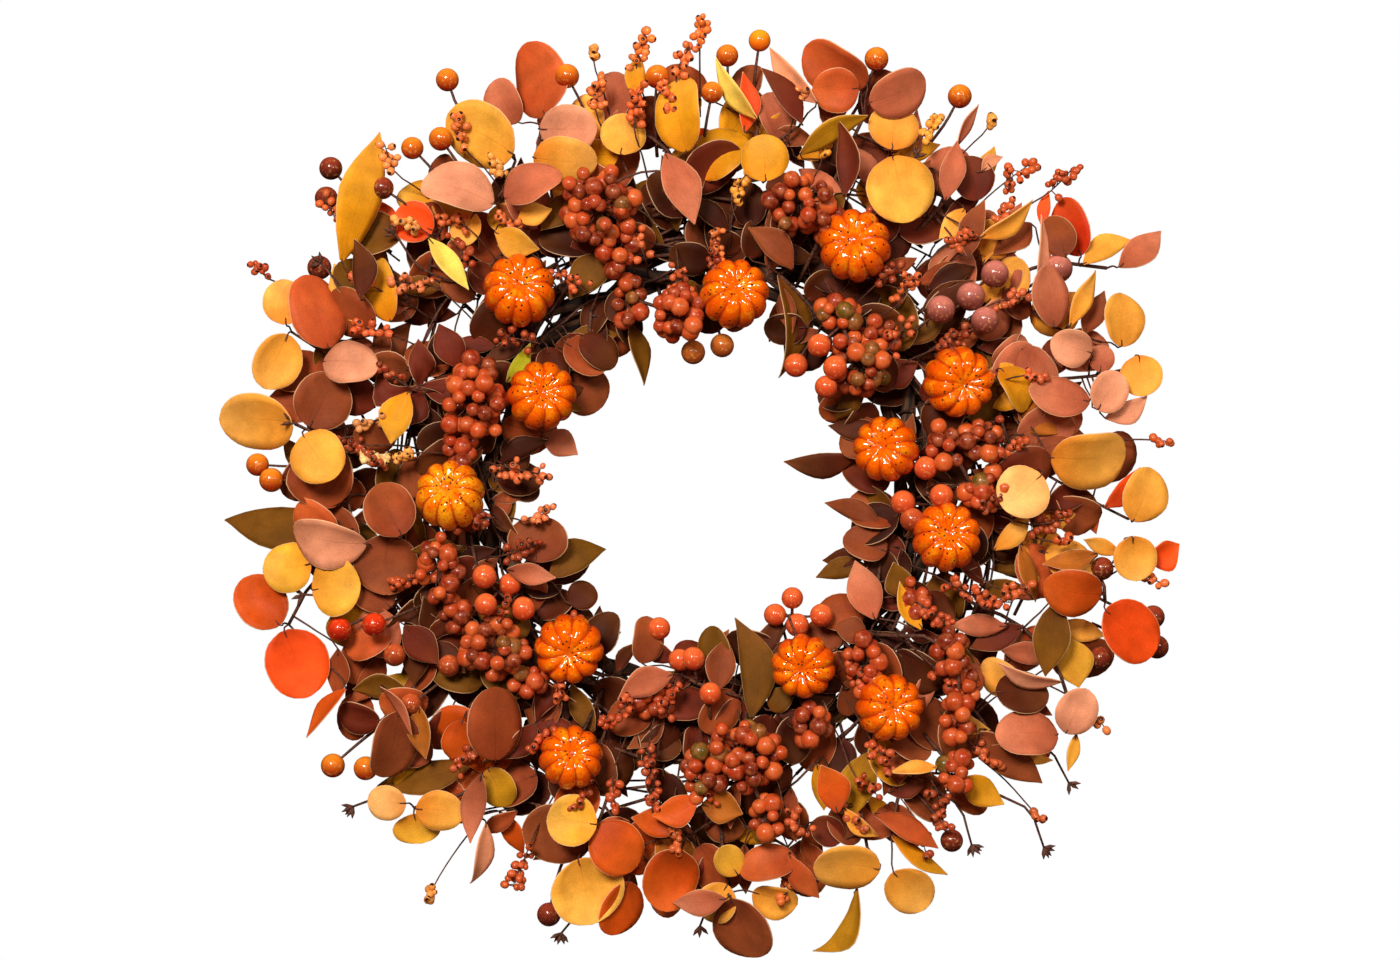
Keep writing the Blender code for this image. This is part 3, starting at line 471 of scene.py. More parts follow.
# ---- Leaf sprays ----
# Leaves die-cut from dyed polyester cloth, pressed to give them veins and a bend, and glued to thin
# wires on a tape-wrapped stem that is pushed between the strands. Round ones copy eucalyptus, long
# ones willow. Each spray: name, angle on the ring, way out, its twigs as (x, z, layer), and its leaves
# as (shape, base x, base z, tip x, tip z, width, layer, dye).
OUTWARD, INWARD = 15.0, 165.0
LEAF_SPRAYS = [
    ("spray_top", 6, OUTWARD,
     [[(20, 158, -18), (30, 190, -8), (34, 208, -2)], [(30, 190, -8), (58, 208, -4)]],
     [("lance", 33, 211, 8, 247, 10, 10, "lemon"), ("lance", 26, 204, 25, 240, 13, 2, "tangerine"),
      ("lance", 68, 221, 41, 254, 13, 8, "peach"), ("lance", 59, 208, 36, 243, 14, 14, "maroon"),
      ("round", 38, 174, 36, 202, 28, 14, "mustard")]),
    ("spray_top_right", 25, OUTWARD,
     [[(68, 150, -22), (82, 184, -8), (96, 214, -2)]],
     [("round", 98, 234, 62, 256, 28, -2, "terracotta"),
      ("round", 93, 230, 66, 228, 26, 5, "terracotta"), ("round", 99, 221, 131, 236, 26, 10, "rose"),
      ("round", 112, 194, 114, 221, 30, 3, "amber"), ("lance", 58, 190, 98, 213, 13, 11, "strap"),
      ("lance", 84, 166, 81, 210, 14, 16, "maroon")]),
    ("spray_upper_right", 41, OUTWARD,
     [[(112, 132, -24), (138, 158, -10), (152, 178, -6)]],
     [("round", 112, 189, 121, 151, 40, 12, "yellow"), ("lance", 143, 164, 150, 199, 15, 8, "rose"),
      ("round", 163, 165, 155, 191, 25, -2, "maroon"), ("lance", 163, 142, 195, 164, 12, 12, "amber"),
      ("lance", 156, 131, 166, 165, 15, 5, "brown"), ("lance", 165, 182, 178, 191, 8, 2, "peach"),
      ("lance", 151, 197, 167, 222, 6, 0, "rose"), ("lance", 155, 160, 140, 143, 15, -6, "amber")]),
    ("spray_right_upper", 54, OUTWARD,
     [[(134, 104, -24), (178, 118, -14), (205, 128, -8), (240, 126, -4)],
      [(178, 118, -14), (206, 92, -8), (236, 82, -4)]],
     [("round", 224, 133, 212, 167, 21, 0, "crimson"), ("round", 214, 132, 204, 155, 20, 8, "brown"),
      ("lance", 246, 126, 273, 151, 18, 9, "rose"), ("lance", 225, 128, 256, 143, 15, 1, "yellow"),
      ("lance", 201, 150, 206, 171, 8, -4, "tangerine"), ("lance", 195, 152, 172, 134, 18, -8, "brown"),
      ("round", 206, 90, 202, 126, 22, 10, "rose"), ("lance", 216, 91, 233, 124, 12, 5, "amber"),
      ("round", 246, 79, 249, 111, 25, 11, "amber"), ("lance", 225, 87, 238, 113, 14, -2, "brown"),
      ("lance", 197, 115, 197, 156, 8, 5, "pale_rose"),
      ("round", 178, 112, 192, 96, 16, -8, "maroon")]),
    ("spray_right_mid", 74, OUTWARD,
     [[(156, 36, -30), (196, 58, -10), (230, 62, -6), (250, 66, -4)]],
     [("round", 227, 47, 191, 54, 23, 9, "rose"), ("round", 231, 42, 246, 63, 23, 13, "pale_rose"),
      ("lance", 237, 37, 262, 50, 14, 4, "pale_rose"), ("round", 168, 46, 190, 65, 28, -14, "mustard"),
      ("round", 257, 74, 260, 50, 25, 8, "amber"), ("round", 234, 64, 236, 80, 15, 4, "rose"),
      ("round", 228, 75, 204, 82, 22, 11, "pale_rose")]),
    ("spray_right", 90, OUTWARD,
     [[(160, 4, -26), (196, 8, -6), (204, 14, -4)], [(196, 8, -6), (236, -14, -8), (252, -22, -4)]],
     [("round", 204, 14, 249, 16, 34, 10, "amber"), ("round", 198, 4, 176, -16, 32, 12, "light_amber"),
      ("round", 253, -23, 264, 8, 27, 10, "amber"), ("lance", 237, -15, 259, 9, 14, 1, "tangerine"),
      ("lance", 201, -16, 231, -8, 16, -5, "maroon"), ("lance", 186, 46, 210, 28, 18, -8, "bronze")]),
    ("spray_right_low", 97, OUTWARD,
     [[(158, -36, -30), (196, -40, -14), (236, -58, -6), (238, -70, -4)]],
     [("round", 234, -66, 200, -60, 28, 10, "orange"),
      ("round", 237, -75, 268, -101, 34, 7, "tangerine"),
      ("lance", 232, -42, 200, -46, 13, 4, "bronze"), ("round", 252, -32, 256, -58, 26, 12, "amber"),
      ("lance", 246, -42, 224, -33, 10, 2, "amber"), ("lance", 262, -45, 282, -37, 18, 3, "tangerine"),
      ("lance", 187, -37, 198, -70, 11, -2, "bronze")]),
    ("spray_lower_right", 108, OUTWARD,
     [[(152, -66, -30), (190, -86, -12), (212, -114, -6), (218, -142, -4)]],
     [("lance", 208, -70, 201, -114, 22, 2, "olive"), ("lance", 216, -92, 223, -121, 25, -5, "gold"),
      ("round", 214, -147, 226, -121, 25, 9, "pale_rose"),
      ("lance", 221, -148, 216, -170, 8, 4, "yellow"),
      ("lance", 211, -117, 174, -106, 10, 5, "pale_rose"),
      ("lance", 189, -85, 158, -97, 16, -8, "maroon")]),
    ("spray_right_bottom", 127, OUTWARD,
     [[(130, -100, -30), (158, -130, -16), (172, -150, -6)], [(172, -150, -6), (206, -148, -2)]],
     [("round", 173, -123, 205, -124, 24, -2, "umber"), ("round", 209, -148, 172, -148, 26, 9, "rose"),
      ("lance", 162, -156, 201, -177, 20, 3, "brown"), ("lance", 188, -157, 208, -164, 7, -3, "amber"),
      ("lance", 163, -146, 176, -156, 9, 4, "brown")]),
    ("spray_bottom_right", 137, OUTWARD,
     [[(108, -130, -34), (118, -170, -12), (112, -204, -4)], [(118, -170, -12), (152, -172, -6)]],
     [("round", 113, -228, 132, -251, 28, 10, "amber"),
      ("lance", 112, -207, 144, -232, 10, 5, "mustard"),
      ("lance", 102, -194, 139, -214, 13, 11, "terracotta"),
      ("lance", 153, -173, 179, -189, 18, 5, "mustard"), ("lance", 138, -166, 110, -170, 8, 8, "amber"),
      ("round", 112, -151, 135, -160, 18, -8, "brown"),
      ("lance", 110, -182, 134, -176, 13, -6, "maroon")]),
    ("spray_bottom_mid_right", 147, OUTWARD,
     [[(82, -140, -30), (90, -172, -12), (98, -214, -4)]],
     [("lance", 80, -192, 70, -164, 20, 12, "orange"), ("lance", 99, -158, 90, -196, 22, -4, "strap"),
      ("lance", 84, -190, 105, -208, 10, 6, "amber"), ("round", 105, -226, 66, -222, 28, 10, "amber"),
      ("lance", 92, -238, 68, -277, 12, 4, "strap", 15),
      ("round", 84, -210, 66, -200, 18, -8, "maroon")]),
    ("spray_bottom", 173, OUTWARD,
     [[(20, -158, -24), (12, -196, -10), (18, -242, -4)],
      [(12, -196, -10), (48, -212, -4), (56, -219, 0)],
      [(12, -196, -10), (-8, -208, -4)]],
     [("round", 18, -244, 34, -281, 32, 6, "brown"), ("round", 56, -220, 23, -227, 20, 9, "terracotta"),
      ("lance", 52, -217, 70, -243, 14, 13, "terracotta"),
      ("round", 31, -240, 57, -249, 21, 4, "amber"), ("round", -12, -214, -22, -250, 33, 8, "orange"),
      ("lance", 15, -243, -16, -245, 16, 13, "rose"), ("round", 16, -236, 3, -258, 24, 0, "amber"),
      ("lance", -1, -184, -28, -194, 18, 8, "orange"), ("lance", 1, -188, 25, -193, 20, 5, "bronze"),
      ("round", 22, -229, 12, -212, 18, 9, "gold")]),
    ("spray_bottom_left", 196, OUTWARD,
     [[(-46, -158, -24), (-56, -190, -10), (-66, -216, -4)], [(-56, -190, -10), (-38, -216, -6)]],
     [("round", -60, -199, -89, -196, 30, 10, "gold"),
      ("round", -62, -208, -104, -203, 36, -4, "brown"),
      ("round", -71, -220, -62, -258, 43, 9, "yellow"),
      ("round", -42, -234, -52, -267, 24, 2, "orange"),
      ("round", -60, -201, -38, -226, 32, 5, "orange"),
      ("lance", -14, -205, -40, -196, 17, 2, "orange")]),
    ("spray_left_bottom", 213, OUTWARD,
     [[(-92, -138, -30), (-118, -164, -14), (-130, -178, -8), (-168, -192, -4)],
      [(-130, -178, -8), (-128, -198, -4)]],
     [("round", -119, -162, -120, -119, 31, 7, "russet"),
      ("round", -166, -191, -138, -194, 24, 9, "amber"),
      ("round", -172, -188, -196, -188, 21, 8, "light_amber"),
      ("round", -168, -195, -164, -213, 29, 1, "gold"),
      ("lance", -127, -170, -134, -211, 15, 12, "rose"),
      ("lance", -125, -200, -131, -238, 11, 5, "peach"),
      ("round", -124, -168, -112, -190, 21, -4, "strap"),
      ("lance", -134, -166, -193, -177, 19, -12, "olive")]),
    ("spray_lower_left", 233, OUTWARD,
     [[(-130, -92, -30), (-160, -112, -14), (-176, -130, -6)]],
     [("round", -175, -134, -184, -174, 27, 7, "brown"),
      ("lance", -164, -131, -160, -162, 14, 3, "bronze"),
      ("lance", -186, -119, -170, -149, 6, 12, "rose"),
      ("lance", -172, -122, -205, -124, 15, -8, "olive"),
      ("round", -177, -81, -199, -96, 30, -4, "rose"),
      ("lance", -172, -84, -152, -106, 20, 5, "maroon")]),
    ("spray_left_low", 259, OUTWARD,
     [[(-156, -26, -30), (-188, -40, -10), (-224, -56, -6), (-242, -84, -4)]],
     [("round", -173, -31, -186, -1, 30, 12, "russet"), ("round", -182, -31, -183, -66, 38, 0, "brown"),
      ("round", -194, -36, -239, -30, 27, 8, "pale_rose"),
      ("lance", -212, -24, -285, -17, 26, -10, "olive"), ("round", -227, -48, -256, -52, 30, 6, "gold"),
      ("round", -226, -63, -198, -59, 35, 9, "gold"), ("round", -246, -84, -269, -57, 30, 7, "orange"),
      ("round", -243, -87, -229, -126, 37, 10, "tangerine"),
      ("lance", -212, -98, -214, -127, 14, -1, "russet"),
      ("lance", -207, -121, -230, -151, 9, 4, "orange")]),
    ("spray_left", 281, OUTWARD,
     [[(-158, 28, -28), (-196, 34, -14), (-228, 30, -8), (-238, 34, -4)],
      [(-196, 34, -14), (-218, 72, -8), (-240, 88, -2)]],
     [("round", -228, 32, -213, 63, 34, 3, "brown"), ("round", -238, 34, -282, 36, 33, 7, "amber"),
      ("round", -231, 27, -212, 2, 33, 11, "amber"), ("round", -228, 20, -213, -13, 40, -8, "russet"),
      ("round", -217, 78, -232, 121, 30, 5, "terracotta"),
      ("round", -242, 92, -244, 119, 25, 10, "amber"), ("round", -241, 86, -254, 54, 27, 9, "amber"),
      ("round", -219, 70, -187, 66, 25, 11, "pale_rose")]),
    ("spray_upper_left", 307, OUTWARD,
     [[(-132, 98, -28), (-160, 120, -16), (-196, 104, -8)],
      [(-160, 120, -16), (-152, 148, -8), (-120, 164, -6), (-108, 188, -4)]],
     [("lance", -209, 129, -187, 205, 24, 10, "mustard", 3),
      ("lance", -201, 93, -215, 128, 19, -4, "yellow"),
      ("round", -181, 94, -190, 131, 20, -2, "mustard"),
      ("lance", -197, 107, -200, 141, 16, 16, "umber"),
      ("round", -109, 191, -149, 214, 35, 7, "yellow"),
      ("round", -120, 161, -162, 172, 28, 12, "pale_rose"),
      ("round", -132, 157, -142, 138, 18, 0, "amber"),
      ("round", -156, 147, -180, 156, 25, -1, "tangerine"),
      ("lance", -184, 147, -191, 167, 14, -10, "tangerine"),
      ("lance", -157, 141, -133, 112, 13, 15, "lemon")]),
    ("spray_top_left", 325, OUTWARD,
     [[(-88, 150, -22), (-96, 184, -8), (-92, 212, -2)]],
     [("round", -91, 214, -104, 259, 32, 0, "terracotta"),
      ("round", -93, 205, -60, 205, 29, 11, "pale_rose"), ("round", -97, 189, -60, 186, 27, 3, "amber"),
      ("round", -113, 164, -81, 180, 23, 13, "rose"), ("lance", -106, 152, -86, 158, 14, 5, "amber"),
      ("lance", -119, 145, -93, 135, 18, 10, "gold"), ("lance", -68, 166, -94, 148, 18, -3, "olive")]),
    ("spray_top_mid_left", 354, OUTWARD,
     [[(-20, 158, -18), (-14, 186, -8), (-34, 206, -6)]],
     [("round", -46, 191, -44, 215, 27, -1, "yellow"), ("round", -8, 192, -13, 237, 27, 6, "mustard"),
      ("lance", -20, 190, -3, 149, 22, 14, "rose"), ("round", -8, 172, 23, 195, 26, -3, "maroon"),
      ("lance", -38, 225, -34, 250, 13, 3, "mustard")]),
    ("spray_inner_top_left", 303.5, INWARD,
     [[(-86, 74, -28), (-68, 78, -14), (-64, 100, -12)]],
     [("lance", -80, 80, -48, 87, 16, -12, "olive"), ("lance", -50, 132, -76, 106, 22, -5, "olive"),
      ("lance", -41, 93, -30, 57, 12, -8, "olive"), ("round", -77, 62, -57, 44, 30, -16, "brown"),
      ("lance", -92, 27, -72, 16, 17, -8, "rose")]),
    ("spray_inner_left", 247, INWARD,
     [[(-104, -52, -22), (-92, -54, -8)]],
     [("lance", -114, -30, -112, 3, 13, -14, "olive"), ("round", -96, -47, -92, -20, 36, 0, "brown"),
      ("lance", -112, -51, -84, -56, 13, 8, "rose"), ("lance", -88, -56, -55, -39, 20, -4, "olive"),
      ("round", -76, -72, -62, -62, 18, -12, "umber")]),
    ("spray_inner_right", 46, INWARD,
     [[(76, 88, -20), (64, 104, -16), (46, 122, -10)], [(76, 88, -20), (106, 76, -14)]],
     [("lance", 46, 121, 48, 61, 17, -10, "olive"), ("lance", 54, 124, 28, 148, 17, 3, "brown"),
      ("round", 100, 114, 122, 78, 30, -14, "olive"), ("lance", 104, 60, 128, 70, 18, -12, "maroon")]),
    ("spray_inner_lower_right", 113, INWARD,
     [[(106, -44, -22), (104, -62, -10), (104, -80, -6)],
      [(106, -44, -22), (104, -12, -18), (99, 15, -14)]],
     [("lance", 93, 16, 50, 12, 15, -14, "umber"), ("lance", 106, -25, 74, -12, 13, -12, "brown"),
      ("round", 112, -52, 104, -31, 26, -16, "maroon"), ("lance", 102, -80, 90, -46, 21, 0, "rose"),
      ("lance", 124, -68, 113, -47, 17, -6, "olive"), ("lance", 129, -86, 116, -58, 11, 5, "mustard"),
      ("lance", 98, -92, 78, -84, 16, -10, "brown")]),
    ("spray_inner_bottom", 187, INWARD,
     [[(-14, -108, -24), (-6, -116, -8), (24, -126, -8)]],
     [("lance", -16, -112, -48, -126, 18, 7, "rose"), ("lance", 10, -122, 16, -91, 18, 0, "brown"),
      ("round", 6, -130, -25, -130, 20, -6, "maroon"),
      ("lance", 30, -138, 21, -80, 22, -4, "olive", -9), ("round", 42, -134, 52, -122, 14, -8, "olive"),
      ("round", -34, -106, -31, -79, 19, -4, "brown")]),
]
DYES = {
    "lemon": "F6DC60", "yellow": "F4B040", "amber": "F0A43C", "light_amber": "F4B468", "gold": "E2A430",
    "mustard": "D89214", "strap": "BC8414", "orange": "CC5010", "tangerine": "EE4C12",
    "crimson": "C42C0C", "bronze": "B4641E", "rose": "BC6444", "pale_rose": "E29470", "peach": "EC9A70",
    "terracotta": "BE5428", "brown": "8A4222", "russet": "9A4420", "maroon": "662414",
    # painted_shade_brown is painted shade: a near-black leaf colour for leaves deep in the middle band.
    "umber": "4C200C", "painted_shade_brown": "34140A", "olive": "70460C", "lime": "B4B41C"}
FAMILIES = {
    "amber": ["lemon", "yellow", "amber", "light_amber", "gold", "mustard"],
    "orange": ["orange", "tangerine", "crimson", "terracotta"],
    "rose": ["rose", "pale_rose", "peach"],
    "brown": ["brown", "russet", "maroon", "umber", "bronze", "painted_shade_brown"],
    "olive": ["olive", "strap", "lime"]}
TIP_DYES = {"amber": "FFD890", "orange": "F89040", "rose": "F8B890"}
SPRAY_STEM, PETIOLE = 1.1, 0.55
LEAF_CLOTH = 0.5
FINE_GRID, PLAIN_GRID = (14, 6), (10, 4)
ROUND_OUTLINE = [(0.0, 0.07), (0.03, 0.17), (0.10, 0.31), (0.22, 0.43), (0.38, 0.495), (0.55, 0.5),
                 (0.70, 0.46), (0.82, 0.385), (0.92, 0.275), (0.975, 0.16), (1.0, 0.03)]
LANCE_OUTLINE = [(0.0, 0.05), (0.08, 0.17), (0.2, 0.35), (0.36, 0.48), (0.5, 0.5), (0.65, 0.43),
                 (0.8, 0.27), (0.92, 0.11), (1.0, 0.012)]
ROUND_RATIO, LANCE_RATIO = 0.84, 0.36
MOST_ROLL = {"round": 30.0, "lance": 46.0}
MOST_TWIST = {"round": 0.12, "lance": 0.55}
MOST_SWAY = {"round": 0.025, "lance": 0.13}
LEAST_ROLLS = (2, 14)
CUPS, BOWS, CURLS = (-0.06, 0.20), (-0.10, 0.12), (-0.14, 0.08)
RIPPLES = (0.01, 0.015, 0.03, 0.05)
MIDRIB_DEPTH = 0.25
FOOT_SHARES, TIP_SHARES = (0.15, 0.6), (0.0, 0.22)
OTHER_TIP = "B86A30"
AMBER_FOOT, OTHER_FOOT = "D8640E", "6A220E"
LEAF_OVERLAP = 4
STALK_DROOP = Vector((0, 0.0015, 0.001))


def leaf_cloth(family, vein_shade, roughness):
    """Dyed polyester leaf cloth: matt, with a fine weave, pressed veins and a paler cut edge."""
    cloth, shader = new_material(f"dyed_polyester_leaf_{family}", Roughness=roughness,
                                 Specular_IOR_Level=0.1)
    own = add_node(cloth, "Attribute", attribute_name="own")
    dye = add_node(cloth, "Attribute", attribute_name="dye")
    place = add_node(cloth, "TexCoord")
    apart = add_node(cloth, "SeparateXYZ", {0: own.outputs["Vector"]})
    away = add_node(cloth, "Math", {0: apart.outputs["Y"]}, operation="ABSOLUTE")
    slope = add_node(cloth, "Math", {0: away, 1: -0.55, 2: apart.outputs["X"]},
                     operation="MULTIPLY_ADD")
    repeat = add_node(cloth, "Math", {0: slope, 1: 9.0}, operation="MULTIPLY")
    saw = add_node(cloth, "Math", {0: repeat, 1: 1.0}, operation="PINGPONG")
    side_vein = add_node(cloth, "MapRange", {"Value": saw, 1: 0.10, 2: 0.0})
    midrib = add_node(cloth, "MapRange", {"Value": away, 1: 0.022, 2: 0.006})
    fading = add_node(cloth, "MapRange", {"Value": apart.outputs["X"], 1: 0.8, 2: 0.1})
    vein = add_node(cloth, "Math", {0: side_vein, 1: 0.35}, operation="MULTIPLY")
    vein = add_node(cloth, "Math", {0: vein, 1: midrib}, operation="MAXIMUM")
    vein = add_node(cloth, "Math", {0: vein, 1: fading}, operation="MULTIPLY")
    mottle = add_node(cloth, "TexNoise", {"Vector": place.outputs["Object"], "Scale": 90.0,
                                          "Detail": 4.0})
    weave = add_node(cloth, "TexNoise", {"Vector": place.outputs["Object"], "Scale": 1300.0,
                                         "Detail": 2.0})
    mottle_light = add_node(cloth, "MapRange", {"Value": mottle, 1: 0.3, 2: 0.7, 3: 0.80, 4: 1.12})
    uneven = add_node(cloth, "TexNoise", {"Vector": place.outputs["Object"], "Scale": 42.0,
                                          "Detail": 3.0})
    uneven_share = add_node(cloth, "MapRange", {"Value": uneven, 1: 0.45, 2: 0.75, 4: 0.3})
    weave_light = add_node(cloth, "MapRange", {"Value": weave, 1: 0.3, 2: 0.7, 3: 0.88, 4: 1.1})
    light = add_node(cloth, "Math", {0: mottle_light, 1: weave_light}, operation="MULTIPLY")
    dyed = blend_colours(cloth, uneven_share, dye.outputs["Color"], linear(vein_shade))
    shaded = add_node(cloth, "VectorMath", {0: dyed, "Scale": light}, operation="SCALE")
    vein_share = add_node(cloth, "Math", {0: vein, 1: 0.28}, operation="MULTIPLY")
    veined = blend_colours(cloth, vein_share, shaded, linear(vein_shade))
    edge = add_node(cloth, "MapRange", {"Value": away, 1: 0.482, 2: 0.5, 3: 0.0, 4: 0.6})
    edged = blend_colours(cloth, edge, veined, linear("F4C89A"))
    height = add_node(cloth, "Math", {0: vein, 1: -0.8, 2: weave}, operation="MULTIPLY_ADD")
    join_to(cloth, shader, edged, None, height, 0.4, 0.0003)
    return cloth


CLOTHS = {family: leaf_cloth(family, vein_shade, roughness) for family, vein_shade, roughness in [
    ("amber", "C86A10", 0.5), ("orange", "B83208", 0.5), ("rose", "96402A", 0.6),
    ("brown", "3E180E", 0.6), ("olive", "4A2E06", 0.65)]}

# Floral tape over wire: dark brown crepe paper, wound on a slant, dull.
taped, taped_shader = new_material("brown_floral_tape", Roughness=0.75)
place = add_node(taped, "TexCoord")
creases = add_node(taped, "TexNoise", {"Vector": place.outputs["Object"], "Scale": 700.0,
                                       "Detail": 3.0})
crease_share = add_node(taped, "MapRange", {"Value": creases, 1: 0.35, 2: 0.65})
taped_colour = blend_colours(taped, crease_share, linear("2A120A"), linear("6A3822"))
join_to(taped, taped_shader, taped_colour, None, creases, 0.6, 0.0003)


def family_of(dye):
    return next(family for family, dyes in FAMILIES.items() if dye in dyes)


def leaf_blank(outline, rows, columns):
    """A flat leaf blank, cut from a gridded sheet row by row, with its midrib pressed in."""
    bpy.ops.mesh.primitive_grid_add(x_subdivisions=rows, y_subdivisions=columns, size=1.0,
                                    location=(0.5, 0, 0))
    bpy.ops.object.transform_apply(location=True, rotation=True, scale=True)
    blank = bpy.context.object
    for row in range(rows + 1):
        old = row / rows
        new = (1 - math.cos(math.pi * old)) / 2
        half_width = np.interp(new, [u for u, _ in outline], [w for _, w in outline])
        edit(blank, lambda co: abs(co.x - old) < 0.001 and abs(co.z) < 0.001,
             bpy.ops.transform.resize, value=(1, 2 * half_width, 1), center_override=(old, 0, 0))
        edit(blank, lambda co: abs(co.x - old) < 0.001 and abs(co.z) < 0.001,
             bpy.ops.transform.translate, value=(new - old, 0, 1))
    edit(blank, lambda co: True, bpy.ops.transform.translate, value=(0, 0, -1))
    return taken(blank)


def leaf_own(points, columns):
    """Where each of a blank's points is on the leaf: along it, and across as a share of its width."""
    across = np.linspace(-0.5, 0.5, columns + 1)
    own = points.copy()
    for u in np.unique(points[:, 0].round(5)):
        row = np.abs(points[:, 0] - u) < 0.0001
        own[row, 1] = across[np.argsort(np.argsort(points[row, 1]))]
    return own


BLANKS = {}
for kind, outline in (("round", ROUND_OUTLINE), ("lance", LANCE_OUTLINE)):
    for grid in (FINE_GRID, PLAIN_GRID):
        shape_points, shape_faces = leaf_blank(outline, *grid)
        BLANKS[kind, grid] = (shape_points, shape_faces, leaf_own(shape_points, grid[1]))


def leaf_copy(kind, base, tip, width, dye, grid=FINE_GRID, wave=1.0, bend=None):
    """A copy of a leaf blank from its base to its tip, pressed to its own bend and dyed, with painted
    shade across it.
    """
    points, faces, own = BLANKS[kind, grid]
    along = tip - base
    length = along.length
    natural = length * (ROUND_RATIO if kind == "round" else LANCE_RATIO)
    roll = min(MOST_ROLL[kind], math.degrees(math.acos(min(1.0, width * MM / natural))))
    roll = math.radians(chance.choice((-1, 1)) * max(roll, chance.uniform(*LEAST_ROLLS)))
    true_width = width * MM / math.cos(roll)
    across = Matrix.Rotation(roll, 3, along.normalized()) @ Vector((0, -1, 0)).cross(along).normalized()
    normal = along.normalized().cross(across)
    u, v = own[:, 0], 2 * points[:, 1]
    cup = chance.uniform(*CUPS) * true_width
    bow = chance.uniform(*BOWS) * length
    curl = chance.uniform(*CURLS) * length
    ripple = chance.choice(RIPPLES) * true_width * wave
    phase = chance.uniform(0, 6)
    twist = chance.uniform(-1, 1) * MOST_TWIST[kind]
    sway = chance.uniform(-1, 1) * MOST_SWAY[kind] * length * wave
    sway = sway if bend is None else bend * MM
    lift = (cup * v * v + 4 * bow * u * (1 - u) + curl * u ** 4
            + ripple * np.sin(7 * u + phase) * np.abs(v) * np.sign(v)
            - MIDRIB_DEPTH * MM * (np.abs(v) < 0.05))
    turn = twist * (u - 0.3)
    side = v / 2 * true_width
    side, lift = side * np.cos(turn) - lift * np.sin(turn), lift * np.cos(turn) + side * np.sin(turn)
    moved = (np.array(base) + np.outer(u, np.array(along)) + np.outer(side, np.array(across))
             + np.outer(lift, np.array(normal)) + np.outer(sway * np.sin(np.pi * u), np.array(across)))
    shade = np.array(linear(DYES[dye])) * chance.uniform(0.88, 1.1)
    # Painted shade: each leaf is lighter on one side and darker on the other, across and along it, as
    # if lit across a fold.
    painted_fold_shade = 1 + chance.uniform(-0.18, 0.18) * v + chance.uniform(-0.12, 0.12) * (2 * u - 1)
    shade = np.outer(painted_fold_shade, shade)
    foot = np.array(linear(AMBER_FOOT if dye in FAMILIES["amber"] else OTHER_FOOT))
    near_foot = np.clip(1.0 - 1.6 * own[:, 0], 0, 1) ** 1.5
    near_tip = np.clip(own[:, 0] * 1.4 - 0.5, 0, 1)
    share = np.outer(near_foot * chance.uniform(*FOOT_SHARES), np.ones(4))
    pale = np.outer(near_tip * chance.uniform(*TIP_SHARES), np.ones(4))
    shade = shade * (1 - pale) + np.array(linear(TIP_DYES.get(family_of(dye), OTHER_TIP))) * pale
    return moved, faces, own, shade * (1 - share) + foot * share


def nearest_point(point, lines):
    """The point of any of the lines that is nearest to a point."""
    best = None
    for line in lines:
        for start, end in zip(line, line[1:]):
            span = end - start
            share = max(0.0, min(1.0, (point - start).dot(span) / span.length_squared))
            near = start + span * share
            if best is None or (near - point).length < (best - point).length:
                best = near
    return best


def cloth_piece(name, copies, family):
    """A spray's leaves of one dye family, given the cloth's thickness."""
    piece = gathered(name, copies)
    piece.modifiers.new("cloth", "SOLIDIFY").thickness = LEAF_CLOTH * MM
    piece.modifiers["cloth"].offset = 0.0
    bpy.ops.object.modifier_apply(modifier="cloth")
    return piece, CLOTHS[family], f"leaf_{family}"


def petiole_line(root, base, tip):
    """A leaf stalk from a twig to just inside its leaf, bent like a drooping wire."""
    inside = base + (tip - base).normalized() * LEAF_OVERLAP * MM
    middle = (root + base) / 2 + STALK_DROOP
    return [(root, 1.2), (middle, 1.0), (base, 0.9), (inside, 0.5)]


spray_routes = []
for name, angle, way, twigs, leaves in LEAF_SPRAYS:
    routes = [[dome_point(*place) for place in twig] for twig in twigs]
    spray_routes += routes
    start = through_gap(angle, way)
    groups = {}
    petioles = []
    for kind, base_x, base_z, tip_x, tip_z, width, layer, dye, *bend in leaves:
        base, tip = dome_point(base_x, base_z, layer), dome_point(tip_x, tip_z, layer)
        leaf = leaf_copy(kind, base, tip, width, dye, bend=bend[0] if bend else None)
        groups.setdefault(family_of(dye), []).append(leaf)
        petioles.append(petiole_line(nearest_point(base, routes), base, tip))
    stem = wires(f"{name}_stem", [[(point, 1.0) for point in start + routes[0]]], SPRAY_STEM)
    twig_lines = [[(point, 0.8) for point in route] for route in routes[1:]]
    twigs_made = [wires("side_twigs", twig_lines, SPRAY_STEM)] if twig_lines else []
    stem = joined([stem, *twigs_made, wires("petioles", petioles, PETIOLE)])
    fixed(stem, taped, "coated_wire", name)
    for family, copies in groups.items():
        fixed(*cloth_piece(f"{name}_{family}_leaves", copies, family))
